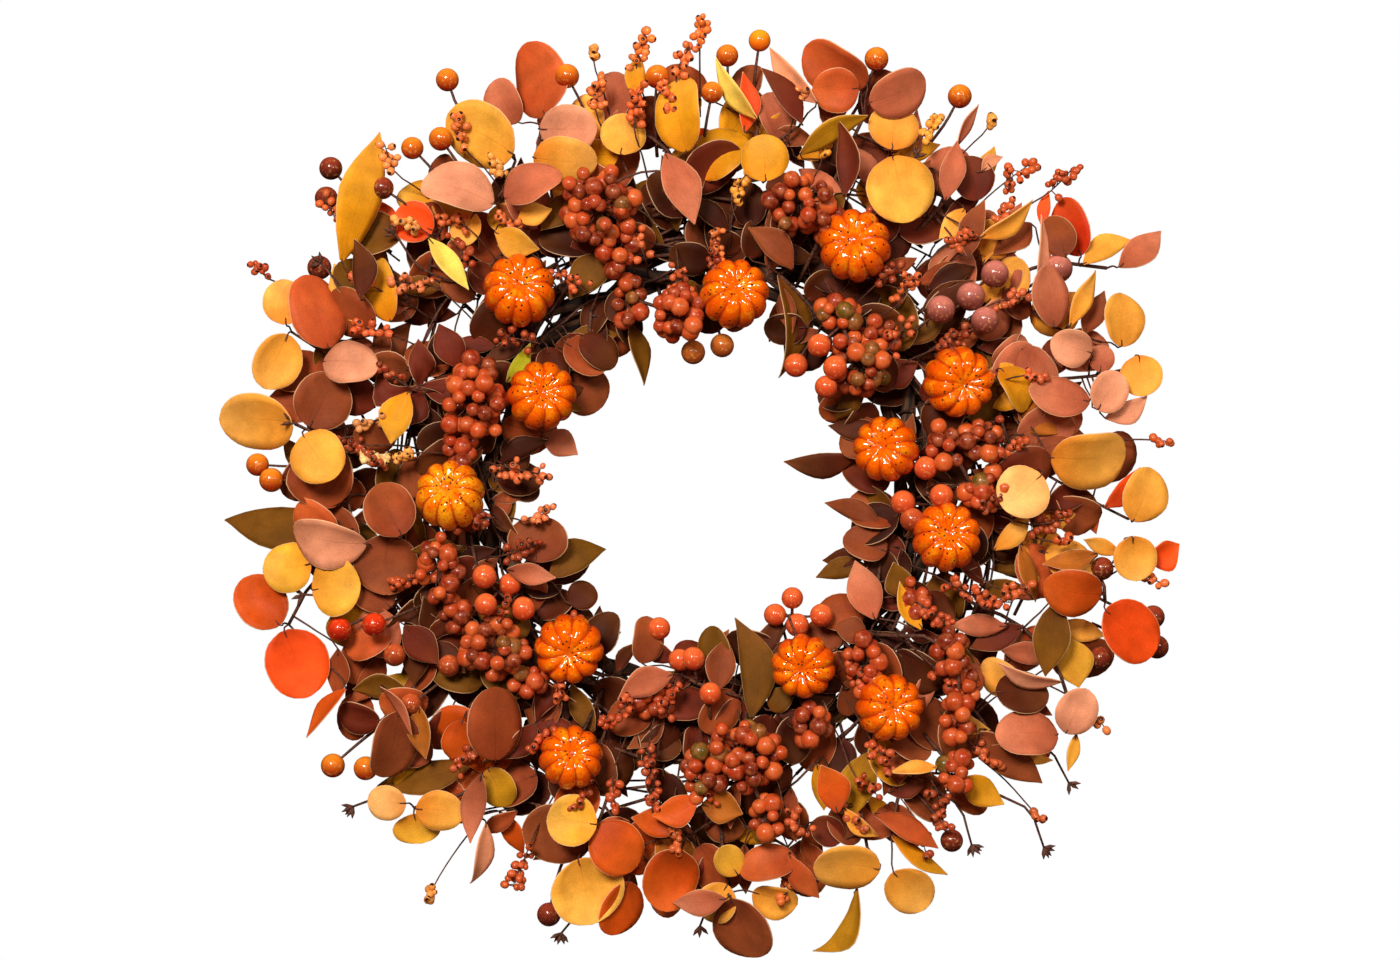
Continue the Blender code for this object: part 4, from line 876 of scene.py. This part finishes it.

# ---- Undergrowth ----
# Thin dark twigs wound round the ring under the sprays, and leaves on short stalks that fill the gaps:
# brown, maroon and near-black ones over the vine and behind it, their darkness partly their own colour
# and partly painted shade, and ones in the sprays' own colours further out.
# Each row of fillers: how many to a quarter, reach, layer and length from and to, and whether coloured.
UNDER_TWIGS = 112
UNDER_STEPS, UNDER_STRIDE = 8, 8
UNDER_REACHES, UNDER_DRIFTS, UNDER_LAYERS = (116, 172), (-16, 44), (-36, -16)
UNDER_WANDER = (-4, 4)
UNDER_RADIUS, UNDER_THICKNESS = 0.8, (0.7, 1.4)
FILLER_AIM = 50
FILLER_INSIDE = 124
FILLER_RATIOS = {"round": 0.78, "lance": 0.42}
# Rows that are not coloured take the dark under dyes, partly painted shade; the fourth sets them
# deepest, behind the others.
FILLERS = [
    (44, (106, 150), (-20, -8), (20, 32), False), (22, (146, 176), (-20, -8), (22, 32), False),
    (24, (174, 214), (-20, -6), (24, 36), True), (40, (132, 204), (-36, -24), (26, 38), False),
    (26, (198, 240), (-18, -8), (24, 34), True)]
ROSETTES = [(-164, 56, -4, "maroon"), (-158, -94, -4, "umber"), (-96, -142, -8, "maroon")]
ROSETTE_LEAVES = 5
ROSETTE_SIZE = 27.0
ROSETTE_WIDTH = 15.5
ROSETTE_WAVE = 5.0
ODD_LEAVES = [
    ("lance", -113, 58, -99, 81, 10, -2, "lime"), ("lance", -170, 52, -180, 22, 20, 2, "mustard"),
    ("lance", -140, 66, -152, 92, 18, 4, "maroon"), ("lance", -62, -146, -76, -118, 14, -6, "olive"),
    ("round", 176, 66, 192, 42, 20, -4, "mustard"), ("lance", 130, 100, 160, 118, 18, -6, "umber")]
# Dark dyes for leaves deep in the middle band: partly their own brown and maroon, partly painted shade.
UNDER_DYES_AND_SHADE = ["maroon", "umber", "painted_shade_brown", "brown", "umber", "painted_shade_brown", "russet", "olive"]
GAP_DYES = [row.split() for row in (
    "maroon rose mustard brown russet", "brown rose amber maroon russet",
    "rose amber maroon brown terracotta", "brown rose mustard maroon russet",
    "terracotta brown bronze russet orange", "brown terracotta strap russet maroon",
    "brown rose russet olive maroon", "tangerine amber maroon mustard rose")]

under_routes = []
for number in range(UNDER_TWIGS):
    angle = 360.0 * number / UNDER_TWIGS + chance.uniform(-6, 6)
    reach = chance.uniform(*UNDER_REACHES)
    drift = chance.uniform(*UNDER_DRIFTS)
    depth = chance.uniform(*UNDER_LAYERS)
    route = []
    for step in range(UNDER_STEPS):
        turn = math.radians(angle + UNDER_STRIDE * step)
        out = reach + drift * step / (UNDER_STEPS - 1) + chance.uniform(*UNDER_WANDER)
        route.append(dome_point(out * math.sin(turn), out * math.cos(turn),
                                depth + chance.uniform(*UNDER_WANDER)))
    under_routes.append(route)


def quarter_of(x, z):
    """Which quarter of the wreath a place is in, clockwise from the top: 0 to 3."""
    return int(math.degrees(math.atan2(x, z)) % 360 // 90)


def filler_leaf(angle, reach, layer, length, dye):
    """Shape, base, tip, width and dye of a filler leaf that points more or less outward."""
    turn = math.radians(angle)
    aim = turn + math.radians(chance.gauss(0, FILLER_AIM)) + (0 if reach > FILLER_INSIDE else math.pi)
    x, z = reach * math.sin(turn), reach * math.cos(turn)
    base = dome_point(x, z, layer)
    tip = dome_point(x + length * math.sin(aim), z + length * math.cos(aim),
                     layer + chance.uniform(-6, 7))
    kind = chance.choice(("round", "round", "lance"))
    return kind, base, tip, length * FILLER_RATIOS[kind], dye


for quarter in range(4):
    mine = under_routes[quarter * UNDER_TWIGS // 4:(quarter + 1) * UNDER_TWIGS // 4]
    twigs = wires(f"undergrowth_twigs_{quarter + 1}",
                  [[(point, chance.uniform(*UNDER_THICKNESS)) for point in route] for route in mine],
                  UNDER_RADIUS)
    fixed(twigs, taped, "grapevine")
    picked = []
    for count, reaches, layers, lengths, coloured in FILLERS:
        for number in range(count):
            angle = 90 * (quarter + (number + chance.random()) / count)
            dyes = GAP_DYES[int(angle // 45)] if coloured else UNDER_DYES_AND_SHADE
            picked.append(filler_leaf(angle, chance.uniform(*reaches), chance.uniform(*layers),
                                      chance.uniform(*lengths), chance.choice(dyes)))
    for kind, base_x, base_z, tip_x, tip_z, width, layer, dye in ODD_LEAVES:
        if quarter_of(base_x, base_z) == quarter:
            picked.append((kind, dome_point(base_x, base_z, layer), dome_point(tip_x, tip_z, layer),
                           width, dye))
    for x, z, layer, dye in ROSETTES:
        if quarter_of(x, z) != quarter:
            continue
        for number in range(ROSETTE_LEAVES):
            aim = 2 * math.pi * (number + chance.uniform(-0.25, 0.25)) / ROSETTE_LEAVES
            tip = dome_point(x + ROSETTE_SIZE * math.sin(aim), z + ROSETTE_SIZE * math.cos(aim),
                             layer + chance.uniform(0, 9))
            picked.append(("lance", dome_point(x, z, layer), tip, ROSETTE_WIDTH, dye))
    groups = {}
    stalks = []
    for kind, base, tip, width, dye in picked:
        wave = ROSETTE_WAVE if width == ROSETTE_WIDTH else 1.0
        groups.setdefault(family_of(dye), []).append(
            leaf_copy(kind, base, tip, width, dye, PLAIN_GRID, wave))
        stalks.append(petiole_line(nearest_point(base, mine + spray_routes), base, tip))
    fixed(wires(f"undergrowth_stalks_{quarter + 1}", stalks, PETIOLE), taped, "coated_wire")
    for family, copies in groups.items():
        fixed(*cloth_piece(f"undergrowth_{quarter + 1}_{family}_leaves", copies, family))

# ---- Bead-berry picks ----
# Heads of foam berries, 7 to 12 mm across, dipped in brick-red lacquer, each on its own fine wire with
# a dark calyx dot at its end, gathered on one stem. Each pick: name, angle, and its heads as (x, z,
# width, height, rise).
BERRY_PICKS = [
    ("berry_pick_top_right", 19, [(58, 161, 42, 38, 10)]),
    ("berry_pick_inner_right", 52, [(92, 68, 38, 38, 6), (80, 98, 30, 26, 6)]),
    ("berry_pick_right", 84, [(142, 20, 24, 30, 10), (160, -6, 22, 24, 4)]),
    ("berry_pick_lower_right", 132, [(145, -98, 24, 30, 10), (150, -136, 24, 36, 8)]),
    ("berry_pick_bottom", 168, [(26, -158, 46, 40, 10), (38, -194, 24, 34, 10)]),
    ("berry_pick_lower_left", 229, [(-120, -97, 42, 34, 10)]),
    ("berry_pick_left", 251.5, [(-152, -50, 28, 44, 8)]),
    ("berry_pick_upper_left", 288, [(-131, 47, 38, 48, 10)]),
    ("berry_pick_top_left", 340, [(-58, 159, 44, 46, 10)]),
    ("berry_pick_top", 348, [(-13, 99, 34, 38, 4), (-41, 107, 22, 32, 0)])]
EXTRA_HEADS = [
    (96, -107, 26, 38, 4), (154, -120, 24, 26, 0), (149, -168, 23, 32, 2), (65, -141, 26, 26, 2),
    (2, -170, 30, 34, 6), (166, 24, 30, 28, 4), (174, -2, 26, 28, 2), (-100, -116, 26, 24, 2),
    (-142, -78, 22, 26, 0), (-48, 133, 26, 30, 4), (104, 84, 26, 26, 0), (74, 150, 24, 24, 4),
    (-140, 20, 24, 26, 2), (126, -70, 22, 28, -2), (-28, -128, 26, 22, -4)]
BEAD = 9.0
BEAD_SIZES = (0.78, 0.9, 1.0, 1.1, 1.28)
BEAD_AREA = 88.0
BEAD_CROWDING = 1.25
LEAST_BEADS = 12
AREA_POWER = 1.6
UNRIPE_SHARE, STRAY_SHARE = 0.35, 0.04
GOLDEN_TURN = math.pi * (3 - math.sqrt(5))
UNRIPE_HEADS = ["berry_pick_inner_right", "berry_filler_11"]
UNRIPE_DYES = ["5E4A12", "6E4214", "7A4A1C"]
BEAD_DYES = ["A83412", "BC4418", "8E280E", "C85420", "74200C", "B04016"]

# Berry lacquer: half-gloss brick red, a little paler and worn on the crown, dark at the calyx dot.
lacquer, lacquer_shader = new_material("berry_lacquer", Roughness=0.4, Specular_IOR_Level=0.2,
                                       Coat_Weight=0.35, Coat_Roughness=0.14)
own = add_node(lacquer, "Attribute", attribute_name="own")
dye = add_node(lacquer, "Attribute", attribute_name="dye")
place = add_node(lacquer, "TexCoord")
apart = add_node(lacquer, "SeparateXYZ", {0: own.outputs["Vector"]})
worn = add_node(lacquer, "TexNoise", {"Vector": place.outputs["Object"], "Scale": 260.0, "Detail": 3.0})
worn_share = add_node(lacquer, "MapRange", {"Value": worn, 1: 0.4, 2: 0.75, 4: 0.4})
bead_colour = blend_colours(lacquer, worn_share, dye.outputs["Color"], linear("E88A58"))
dot = add_node(lacquer, "MapRange", {"Value": apart.outputs["Z"], 1: 0.90, 2: 0.96})
bead_colour = blend_colours(lacquer, dot, bead_colour, linear("3A1408"))
join_to(lacquer, lacquer_shader, bead_colour, None, worn, 0.25, 0.0004)

bpy.ops.mesh.primitive_uv_sphere_add(segments=10, ring_count=7, radius=1.0)
edit(bpy.context.object, lambda co: co.z > 0.99, bpy.ops.transform.translate, value=(0, 0, -0.08))
bead_points, bead_faces = taken(bpy.context.object)


def bead_copy(middle, outward, diameter, code):
    """A berry whose calyx dot points outward."""
    matrix = outward.to_track_quat("Z", "Y").to_matrix().to_4x4() @ Matrix.Scale(diameter / 2 * MM, 4)
    matrix.translation = middle
    return placed(bead_points, matrix), bead_faces, bead_points, np.array(linear(code))


def berry_head(middle, width, height, green_share):
    """The berries and wires of one head, packed over an egg shape, a share of them unripe."""
    half = (Vector((width, min(width, height) * 0.9, height)) - Vector((1, 1, 1)) * BEAD) / 2
    area = 4 * math.pi * sum((one * other) ** AREA_POWER / 3 for one, other in (
        (half.x, half.y), (half.x, half.z), (half.y, half.z))) ** (1 / AREA_POWER)
    count = max(LEAST_BEADS, round(area / BEAD_AREA * BEAD_CROWDING))
    beads, spokes = [], []
    for number in range(count):
        up = 1 - 2 * (number + 0.5) / count
        ring = math.sqrt(1 - up * up)
        outward = Vector((ring * math.cos(GOLDEN_TURN * number), -up,
                          ring * math.sin(GOLDEN_TURN * number)))
        outward += Vector([chance.uniform(-0.2, 0.2) for _ in range(3)])
        outward *= chance.uniform(0.86, 1.14)
        offset = Vector((outward.x * half.x, outward.y * half.y, outward.z * half.z)) * MM
        code = chance.choice(BEAD_DYES if chance.random() > green_share else UNRIPE_DYES)
        size = chance.choice(BEAD_SIZES) * BEAD
        beads.append(bead_copy(middle + offset, offset.normalized(), size, code))
        spokes.append([(middle, 1.0), (middle + offset * 0.8, 1.0)])
    return beads, spokes


berry_fillers = [(f"berry_filler_{number}", 0, [head]) for number, head in enumerate(EXTRA_HEADS, 1)]
for name, angle, heads in BERRY_PICKS + berry_fillers:
    middles = [front_point(x, z, rise) for x, z, _, _, rise in heads]
    angle = angle or math.degrees(math.atan2(heads[0][0], heads[0][1]))
    start = through_gap(angle, way_to(angle, middles[0]))
    beads, spokes = [], []
    for middle, (_, _, width, height, _) in zip(middles, heads):
        green_share = UNRIPE_SHARE if name in UNRIPE_HEADS else STRAY_SHARE
        more_beads, more_spokes = berry_head(middle, width, height, green_share)
        beads += more_beads
        spokes += more_spokes
    nodes = [name] if name.startswith("berry_pick") else []
    fixed(gathered(f"{name}_berries", beads), lacquer, "berry_lacquer", *nodes)
    stem = wires(f"{name}_wires", [[(point, 1.0) for point in [*start, *middles]]], STEM_RADIUS)
    fixed(joined([stem, wires("spokes", spokes, 0.3, resolution=0, steps=1)]), taped, "coated_wire")

# ---- Rosehips and loose berries ----
# Foam berries of 12 to 14 mm with a clear gloss, alone or forked on dark taped wires; a few are matt
# plum with a dark star. Each goes from a light tone at the top to a deep red or dark tone below:
# painted light on the top and painted shade at the foot. Each: x, z, rise, dye.
ROSEHIP_PICKS = [
    ("rosehip_pick_left", 242.8, (-118, -64, -2),
     [(-125, -55, 10), (-111, -60, -2), (-124, -71, 14), (-103, -74, 2)]),
    ("rosehip_pick_bottom", 161, (54, -78, -12),
     [(54, -68, -6), (44, -78, -10), (71, -78, -6), (57, -84, -10)])]
LOOSE_BERRIES = [
    (-149, 237, 0, "ripe"), (-152, 201, 2, "ripe"), (-169, 196, 0, "ripe"), (-78, 238, 0, "ripe"),
    (-25, 237, 2, "ripe"), (16, 250, 0, "ripe"), (35, 259, 2, "sun"), (7, 227, 6, "ripe"),
    (104, 249, -2, "ripe"), (153, 227, 0, "ripe"), (-260, 10, 0, "ripe"), (-251, 1, 4, "ripe"),
    (-210, -86, 8, "red"), (-189, -83, 12, "red"), (-216, -167, 2, "ripe"), (-196, -168, 4, "ripe"),
    (-24, -86, -4, "coral"), (-12, -104, 0, "coral"), (-4, -103, 4, "coral"), (6, -123, 6, "coral"),
    (69, 79, 14, "coral"), (56, 68, 4, "coral"), (73, 55, 18, "coral"), (78, 66, 20, "coral"),
    (-4, 76, -4, "tan"), (13, 80, -6, "tan"), (131, 8, 8, "coral"), (140, -8, 10, "coral"),
    (118, -12, 6, "coral"), (123, -22, 8, "brick"), (-169, -130, 0, "brick"), (-178, -101, 2, "brick"),
    (-146, -107, 4, "brick"), (-218, 185, 0, "plum"), (-220, 167, 2, "plum"), (-186, 172, 4, "plum"),
    (-224, 126, -4, "plum"), (172, 121, 4, "mauve"), (140, 100, 6, "mauve"), (166, 94, 2, "mauve"),
    (210, 125, 0, "mauve"), (158, 108, 0, "mauve"), (236, -104, -6, "plum"), (268, -80, -6, "plum"),
    (271, -98, -8, "plum"), (236, -51, -4, "plum"), (-89, -255, -2, "plum"), (148, -211, -2, "plum")]
# Each kind's colour at its lit top and at its shaded foot: painted light and painted shade over the
# berry's own hue.
HIP_LIT_AND_SHADED_COLOURS = {"ripe": ("F4881C", "9A1C08"), "sun": ("F8A818", "E0500C"), "red": ("E83A12", "8A1208"),
            "coral": ("EE6A34", "B8381A"), "brick": ("C8562C", "7A2814"), "plum": ("983A24", "461610"),
            "tan": ("D87A30", "8E3C14"), "mauve": ("C87468", "6C2C24")}
HIP_SIZES = {"mauve": 1.22}
HIP = 13.5
ROOT_REACH, ROOT_LAYER = 124.0, -24
OUTER_STALK, INNER_STALK, STALK_SAG = 42, 26, 8

# Rosehip varnish: under a hard clear coat, each berry's colour carries painted light at its top and
# painted shade at its foot.
varnish, varnish_shader = new_material("rosehip_varnish", Roughness=0.36, Coat_Weight=0.7,
                                       Specular_IOR_Level=0.08, Coat_Roughness=0.08)
dye = add_node(varnish, "Attribute", attribute_name="dye")
place = add_node(varnish, "TexCoord")
specks = add_node(varnish, "TexNoise", {"Vector": place.outputs["Object"], "Scale": 500.0,
                                        "Detail": 2.0})
speck_share = add_node(varnish, "MapRange", {"Value": specks, 1: 0.55, 2: 0.75, 3: 0.0, 4: 0.35})
hip_colour = blend_colours(varnish, speck_share, dye.outputs["Color"], linear("FCC070"))
join_to(varnish, varnish_shader, hip_colour, None, specks, 0.1, 0.0002)

bpy.ops.mesh.primitive_uv_sphere_add(segments=20, ring_count=14, radius=1.0)
edit(bpy.context.object, lambda co: co.z < -0.99, bpy.ops.transform.translate, value=(0, 0, 0.1))
hip_points, hip_faces = taken(bpy.context.object)


def hip_copy(middle, outward, kind):
    """A loose berry, stalk end inward, with painted light at the top and painted shade at the foot."""
    matrix = outward.to_track_quat("Z", "Y").to_matrix().to_4x4()
    size = HIP / 2 * HIP_SIZES.get(kind, 1.0) * MM * chance.uniform(0.94, 1.06)
    matrix = matrix @ Matrix.Scale(size, 4)
    matrix.translation = middle
    points = placed(hip_points, matrix)
    # Painted light and shade: the colour runs from the lit top colour to the shaded foot colour by
    # height in the world.
    height = (points[:, 2] - middle.z) / (HIP * MM) + 0.5
    share = np.clip(height * 1.15 - 0.05, 0, 1)[:, None] ** 1.3
    top, foot = (np.array(linear(code)) for code in HIP_LIT_AND_SHADED_COLOURS[kind])
    return points, hip_faces, hip_points, top * share + foot * (1 - share)


for name, angle, fork, hips in ROSEHIP_PICKS:
    forked = front_point(*fork)
    places = [front_point(*place) for place in hips]
    start = through_gap(angle, way_to(angle, forked))
    copies = [hip_copy(place, (place - forked).normalized(), "coral") for place in places]
    fixed(gathered(f"{name}_berries", copies), varnish, "rosehip_lacquer", name)
    lines = [[(point, 1.0) for point in [*start, forked]]]
    lines += [[(forked, 0.8), ((forked + place) / 2 + Vector((0, 0, -0.001)), 0.7), (place, 0.7)]
              for place in places]
    fixed(wires(f"{name}_wires", lines, STEM_RADIUS), taped, "coated_wire")

for quarter in range(4):
    copies, stalks = [], []
    for x, z, rise, kind in LOOSE_BERRIES:
        if quarter_of(x, z) != quarter:
            continue
        middle = dome_point(x, z, rise)
        reach = math.hypot(x, z)
        inner = 1 + INNER_STALK / reach
        if reach > ROOT_REACH:
            inner = max(reach - OUTER_STALK, ROOT_REACH) / reach
        bend = dome_point(x * (1 + inner) / 2 + chance.uniform(-4, 4), z * (1 + inner) / 2,
                          rise - STALK_SAG)
        root = dome_point(x * inner + chance.uniform(-6, 6), z * inner + chance.uniform(-6, 6),
                          ROOT_LAYER)
        copies.append(hip_copy(middle, (middle - bend).normalized(), kind))
        stalks.append([(root, 1.2), (bend, 1.0), (middle, 0.8)])
    fixed(gathered(f"loose_berries_{quarter + 1}", copies), varnish, "rosehip_lacquer")
    fixed(wires(f"loose_berry_stalks_{quarter + 1}", stalks, 0.9), taped, "coated_wire")

# ---- Rice-berry sprigs ----
# Fine brown twigs with clusters of 3 to 5 mm berries, orange, coral or gold. Each: x, z of the middle
# of its berries, how far they spread, how many there are, and their dye.
SPRIGS = [
    (-35, 252, 24, 20, "F08038"), (-37, 217, 26, 24, "E0622C"), (0, 262, 20, 14, "F0762C"),
    (-10, 246, 22, 16, "E8743A"), (-111, 150, 18, 12, "E8743A"), (-117, 183, 18, 12, "E8A04A"),
    (-143, 152, 20, 14, "D8622E"), (-166, 115, 26, 18, "E07848"), (-182, 190, 20, 14, "F0904A"),
    (-258, 124, 16, 10, "C04A24"), (-192, 89, 22, 18, "D8582A"), (-188, 13, 15, 26, "F8CC84"),
    (-171, 15, 12, 16, "F0A850"), (-190, 35, 18, 12, "E89A58"), (-105, 7, 30, 20, "D86A3A"),
    (-93, -19, 20, 12, "E07A4A"), (185, 180, 24, 18, "C8501E"), (213, 178, 24, 18, "C04418"),
    (134, 206, 18, 14, "F4A83C"), (72, 195, 16, 10, "F0A030"), (120, 112, 24, 16, "D8622E"),
    (181, 106, 20, 12, "C85A34"), (22, 170, 18, 14, "F0A038"), (9, 138, 20, 14, "E07838"),
    (-35, 138, 20, 12, "D86030"), (152, -63, 24, 16, "C44E24"), (172, -69, 22, 14, "C44E24"),
    (-47, -133, 26, 16, "B8441E"), (-29, -162, 24, 18, "A83C1E"), (-50, -180, 20, 12, "B8441E"),
    (-28, -185, 18, 12, "B8441E"), (-105, -226, 28, 22, "C85020"), (52, -235, 22, 16, "D86A2C"),
    (271, 24, 14, 8, "C8501E"), (233, -139, 16, 8, "D87838"), (265, -57, 16, 8, "E06A30"),
    (140, -190, 26, 20, "A84020"), (130, -210, 22, 14, "A84020"), (198, -196, 12, 6, "C05828"),
    (-62, 251, 8, 14, "F09A3C"), (171, 212, 7, 12, "F0A040"), (-159, -243, 9, 16, "F09A44"),
    (-140, 205, 20, 14, "E87A3C"), (-170, 150, 18, 12, "E8A050"), (-215, 158, 20, 14, "D8622E"),
    (-196, 118, 18, 14, "D05A30"), (-140, -20, 20, 14, "C8522A"), (-128, 44, 18, 12, "C04A24"),
    (160, 55, 20, 16, "D8602E"), (196, 62, 16, 10, "D05A30"), (182, 20, 18, 12, "B8481E"),
    (176, 155, 20, 14, "C85A2A"), (150, 140, 20, 16, "C05026"), (-60, 226, 22, 18, "E87838"),
    (-18, 222, 20, 16, "E87038"), (58, 222, 16, 10, "E08040"), (184, -62, 18, 12, "C8582A"),
    (212, -34, 14, 8, "C8501E"), (88, -196, 20, 14, "C05428"), (2, -176, 22, 16, "C0481E"),
    (-14, -206, 18, 12, "C85A28"), (-92, -148, 20, 14, "B8441E"), (-136, -160, 20, 14, "B04420"),
    (-172, -58, 18, 12, "B8481E"), (96, -176, 18, 12, "B8441E"), (166, -160, 20, 14, "C05024")]
DARK_SPRIGS = 30
for number in range(DARK_SPRIGS):
    turn = 2 * math.pi * (number + chance.random()) / DARK_SPRIGS
    reach = chance.uniform(112, 205)
    SPRIGS.append((reach * math.sin(turn), reach * math.cos(turn), chance.uniform(20, 30),
                   chance.randint(12, 20), chance.choice(["A03818", "B84420", "C8562C", "8E3016"])))
RICE = 4.7
SPRIG_STALK, SPRIG_HALF = 46, 0.42
RICE_REACHES, RICE_SIZES = (0.13, 0.26), (0.75, 1.15)

bpy.ops.mesh.primitive_uv_sphere_add(segments=8, ring_count=5, radius=1.0)
edit(bpy.context.object, lambda co: True, bpy.ops.transform.resize, value=(1, 1, 1.12),
     center_override=(0, 0, 0))
rice_points, rice_faces = taken(bpy.context.object)

for quarter in range(4):
    copies, twigs = [], []
    for x, z, spread, count, code in SPRIGS:
        if quarter_of(x, z) != quarter:
            continue
        reach = math.hypot(x, z)
        outward = Vector((x, 0, z)).normalized() * (1 if reach > 120 else -1)
        lean = Matrix.Rotation(chance.uniform(-0.5, 0.5), 3, "Y") @ outward
        middle = dome_point(x, z, 6)
        foot = middle - lean * spread * SPRIG_HALF * MM
        top = middle + lean * spread * SPRIG_HALF * MM
        root_reach = reach + INNER_STALK
        if reach > ROOT_REACH:
            root_reach = max(reach - SPRIG_STALK, ROOT_REACH)
        root = dome_point(x * root_reach / reach, z * root_reach / reach, -26)
        twigs.append([(root, 1.3), ((root + foot) / 2 + Vector((0, -0.004, 0.002)), 1.1), (foot, 1.0),
                      (top, 0.6)])
        for number in range(count):
            fork = foot.lerp(top, (number + 0.5) / count)
            way = Vector([chance.gauss(0, 1) for _ in range(3)]).normalized()
            way = (way + lean * 0.5).normalized()
            end = fork + way * spread * chance.uniform(*RICE_REACHES) * MM
            size = RICE * chance.uniform(*RICE_SIZES) * MM / 2
            matrix = way.to_track_quat("Z", "Y").to_matrix().to_4x4() @ Matrix.Scale(size, 4)
            matrix.translation = end
            shade = np.array(linear(code)) * chance.uniform(0.75, 1.15)
            copies.append((placed(rice_points, matrix), rice_faces, rice_points, shade))
            twigs.append([(fork, 0.7), (end, 0.5)])
    fixed(gathered(f"rice_berries_{quarter + 1}", copies), lacquer, "berry_lacquer")
    fixed(wires(f"rice_berry_twigs_{quarter + 1}", twigs, 0.5, resolution=0), taped, "coated_wire")

# ---- Bare twig ends ----
# Taped twigs that reach out past the leaves and end in a star of short dry bracts. Each: x, z of its
# end, its layer, and how many bracts it has.
TWIG_ENDS = [(204, -217, -4, 5), (-205, -192, -4, 5), (-82, -267, -6, 5), (0, -262, -6, 3),
             (160, -214, -2, 5), (-178, 145, 4, 4), (-238, 35, 6, 2), (-245, 100, 2, 3),
             (-232, -66, 4, 3), (-222, 128, 2, 4), (192, -4, 8, 5), (-196, 172, -2, 3),
             (218, -178, -4, 3), (60, -100, 0, 3), (126, 190, 0, 3)]
TWIG_LENGTH, TWIG_KNEE = 64, 26
BRACT, BRACT_FAN = 7.0, 130
lines = []
for x, z, layer, bracts in TWIG_ENDS:
    reach = math.hypot(x, z)
    aim = math.atan2(x, z)
    inner, outer = max(reach - TWIG_LENGTH, ROOT_REACH), reach - TWIG_KNEE
    root = dome_point(inner * math.sin(aim + 0.08), inner * math.cos(aim + 0.08), ROOT_LAYER)
    knee = dome_point(outer * math.sin(aim - 0.03), outer * math.cos(aim - 0.03), layer - 6)
    end = dome_point(x, z, layer)
    lines.append([(root, 1.5), (knee, 1.2), (end, 1.0)])
    for number in range(bracts):
        way = aim + math.radians(BRACT_FAN * ((number + 0.5) / bracts - 0.5))
        way += chance.uniform(-0.15, 0.15)
        tip = end + Vector((math.sin(way), chance.uniform(-0.6, 0.3), math.cos(way))) * BRACT * MM
        lines.append([(end, 1.0), (end.lerp(tip, 0.55), 1.9), (tip, 0.3)])
fixed(wires("bare_twig_ends", lines, 0.7), taped, "coated_wire")

# ---- Floor, light and camera ----
# Pale paper far below the wreath, seen only by the camera, a white studio round it with little light
# of its own, one large key lamp, two small ones that glint in the varnish, and two behind and above.
FLOOR_DROP, FLOOR_SIZE, FLOOR_FORWARD = 1.0, 20.0, 5.2
AMBIENT, MIRRORED_AMBIENT = (0.16, 0.12, 0.09, 1.0), (0.02, 0.016, 0.012, 1.0)
LAMP_COLOUR = (1.0, 0.93, 0.84)
LAMPS = [
    ("key_lamp", (-0.9, -3.2, 1.2), 0.85, 136.0, True),
    ("side_lamp", (1.1, -1.7, 0.4), 0.24, 8.0, True),
    ("front_lamp", (0.3, -2.5, 0.8), 0.26, 9.0, True),
    ("back_lamp", (0.9, 1.6, 0.6), 0.9, 14.0, False),
    ("overhead_lamp", (0, 0.1, 2.2), 2.4, 18.0, False)]
CAMERA_LENS, CAMERA_SENSOR = 85.0, 36.0
CAMERA_BACK, CAMERA_RISE = 1.979, 0.001

bpy.ops.mesh.primitive_plane_add(size=FLOOR_SIZE,
                                 location=(0, -FLOOR_FORWARD, ring_centre.z - FLOOR_DROP))
floor = bpy.context.object
floor.name = "floor"
paper, paper_shader = new_material("white_studio_paper", Roughness=0.8, Emission_Strength=0.5)
place = add_node(paper, "TexCoord")
fleece = add_node(paper, "TexNoise", {"Vector": place.outputs["Object"], "Scale": 40.0, "Detail": 4.0})
paper_colour = blend_colours(paper, fleece, linear("E4E8F0"), linear("ECF0F8"))
join_to(paper, paper_shader, paper_colour)
floor.data.materials.append(paper)
floor.visible_diffuse = floor.visible_glossy = False

studio = bpy.data.worlds.new("white_studio")
bpy.context.scene.world = studio
studio.use_nodes = True
seen = studio.node_tree.nodes.new("ShaderNodeLightPath")
shown = studio.node_tree.nodes.new("ShaderNodeMix")
shown.data_type = "RGBA"
shown.inputs[7].default_value = (1.0, 1.0, 1.0, 1.0)
mirrored = studio.node_tree.nodes.new("ShaderNodeMix")
mirrored.data_type = "RGBA"
mirrored.inputs[6].default_value = AMBIENT
mirrored.inputs[7].default_value = MIRRORED_AMBIENT
studio.node_tree.links.new(seen.outputs["Is Glossy Ray"], mirrored.inputs[0])
studio.node_tree.links.new(mirrored.outputs[2], shown.inputs[6])
studio.node_tree.links.new(seen.outputs["Is Camera Ray"], shown.inputs[0])
studio.node_tree.links.new(shown.outputs[2], studio.node_tree.nodes["Background"].inputs["Color"])

for name, location, size, power, glints in LAMPS:
    lamp = bpy.data.lights.new(name, "AREA")
    lamp.size, lamp.energy, lamp.color = size, power, LAMP_COLOUR
    holder = bpy.data.objects.new(name, lamp)
    bpy.context.scene.collection.objects.link(holder)
    holder.location = location
    holder.visible_glossy = glints
    holder.rotation_euler = (ring_centre - holder.location).to_track_quat("-Z", "Y").to_euler()

camera = bpy.data.objects.new("camera", bpy.data.cameras.new("camera"))
bpy.context.scene.collection.objects.link(camera)
camera.data.lens, camera.data.sensor_width = CAMERA_LENS, CAMERA_SENSOR
camera.location = Vector((0, -CAMERA_BACK, ring_centre.z + CAMERA_RISE))
camera.rotation_euler = (math.pi / 2, 0, 0)
bpy.context.scene.camera = camera
bpy.context.scene.view_settings.view_transform = "Standard"
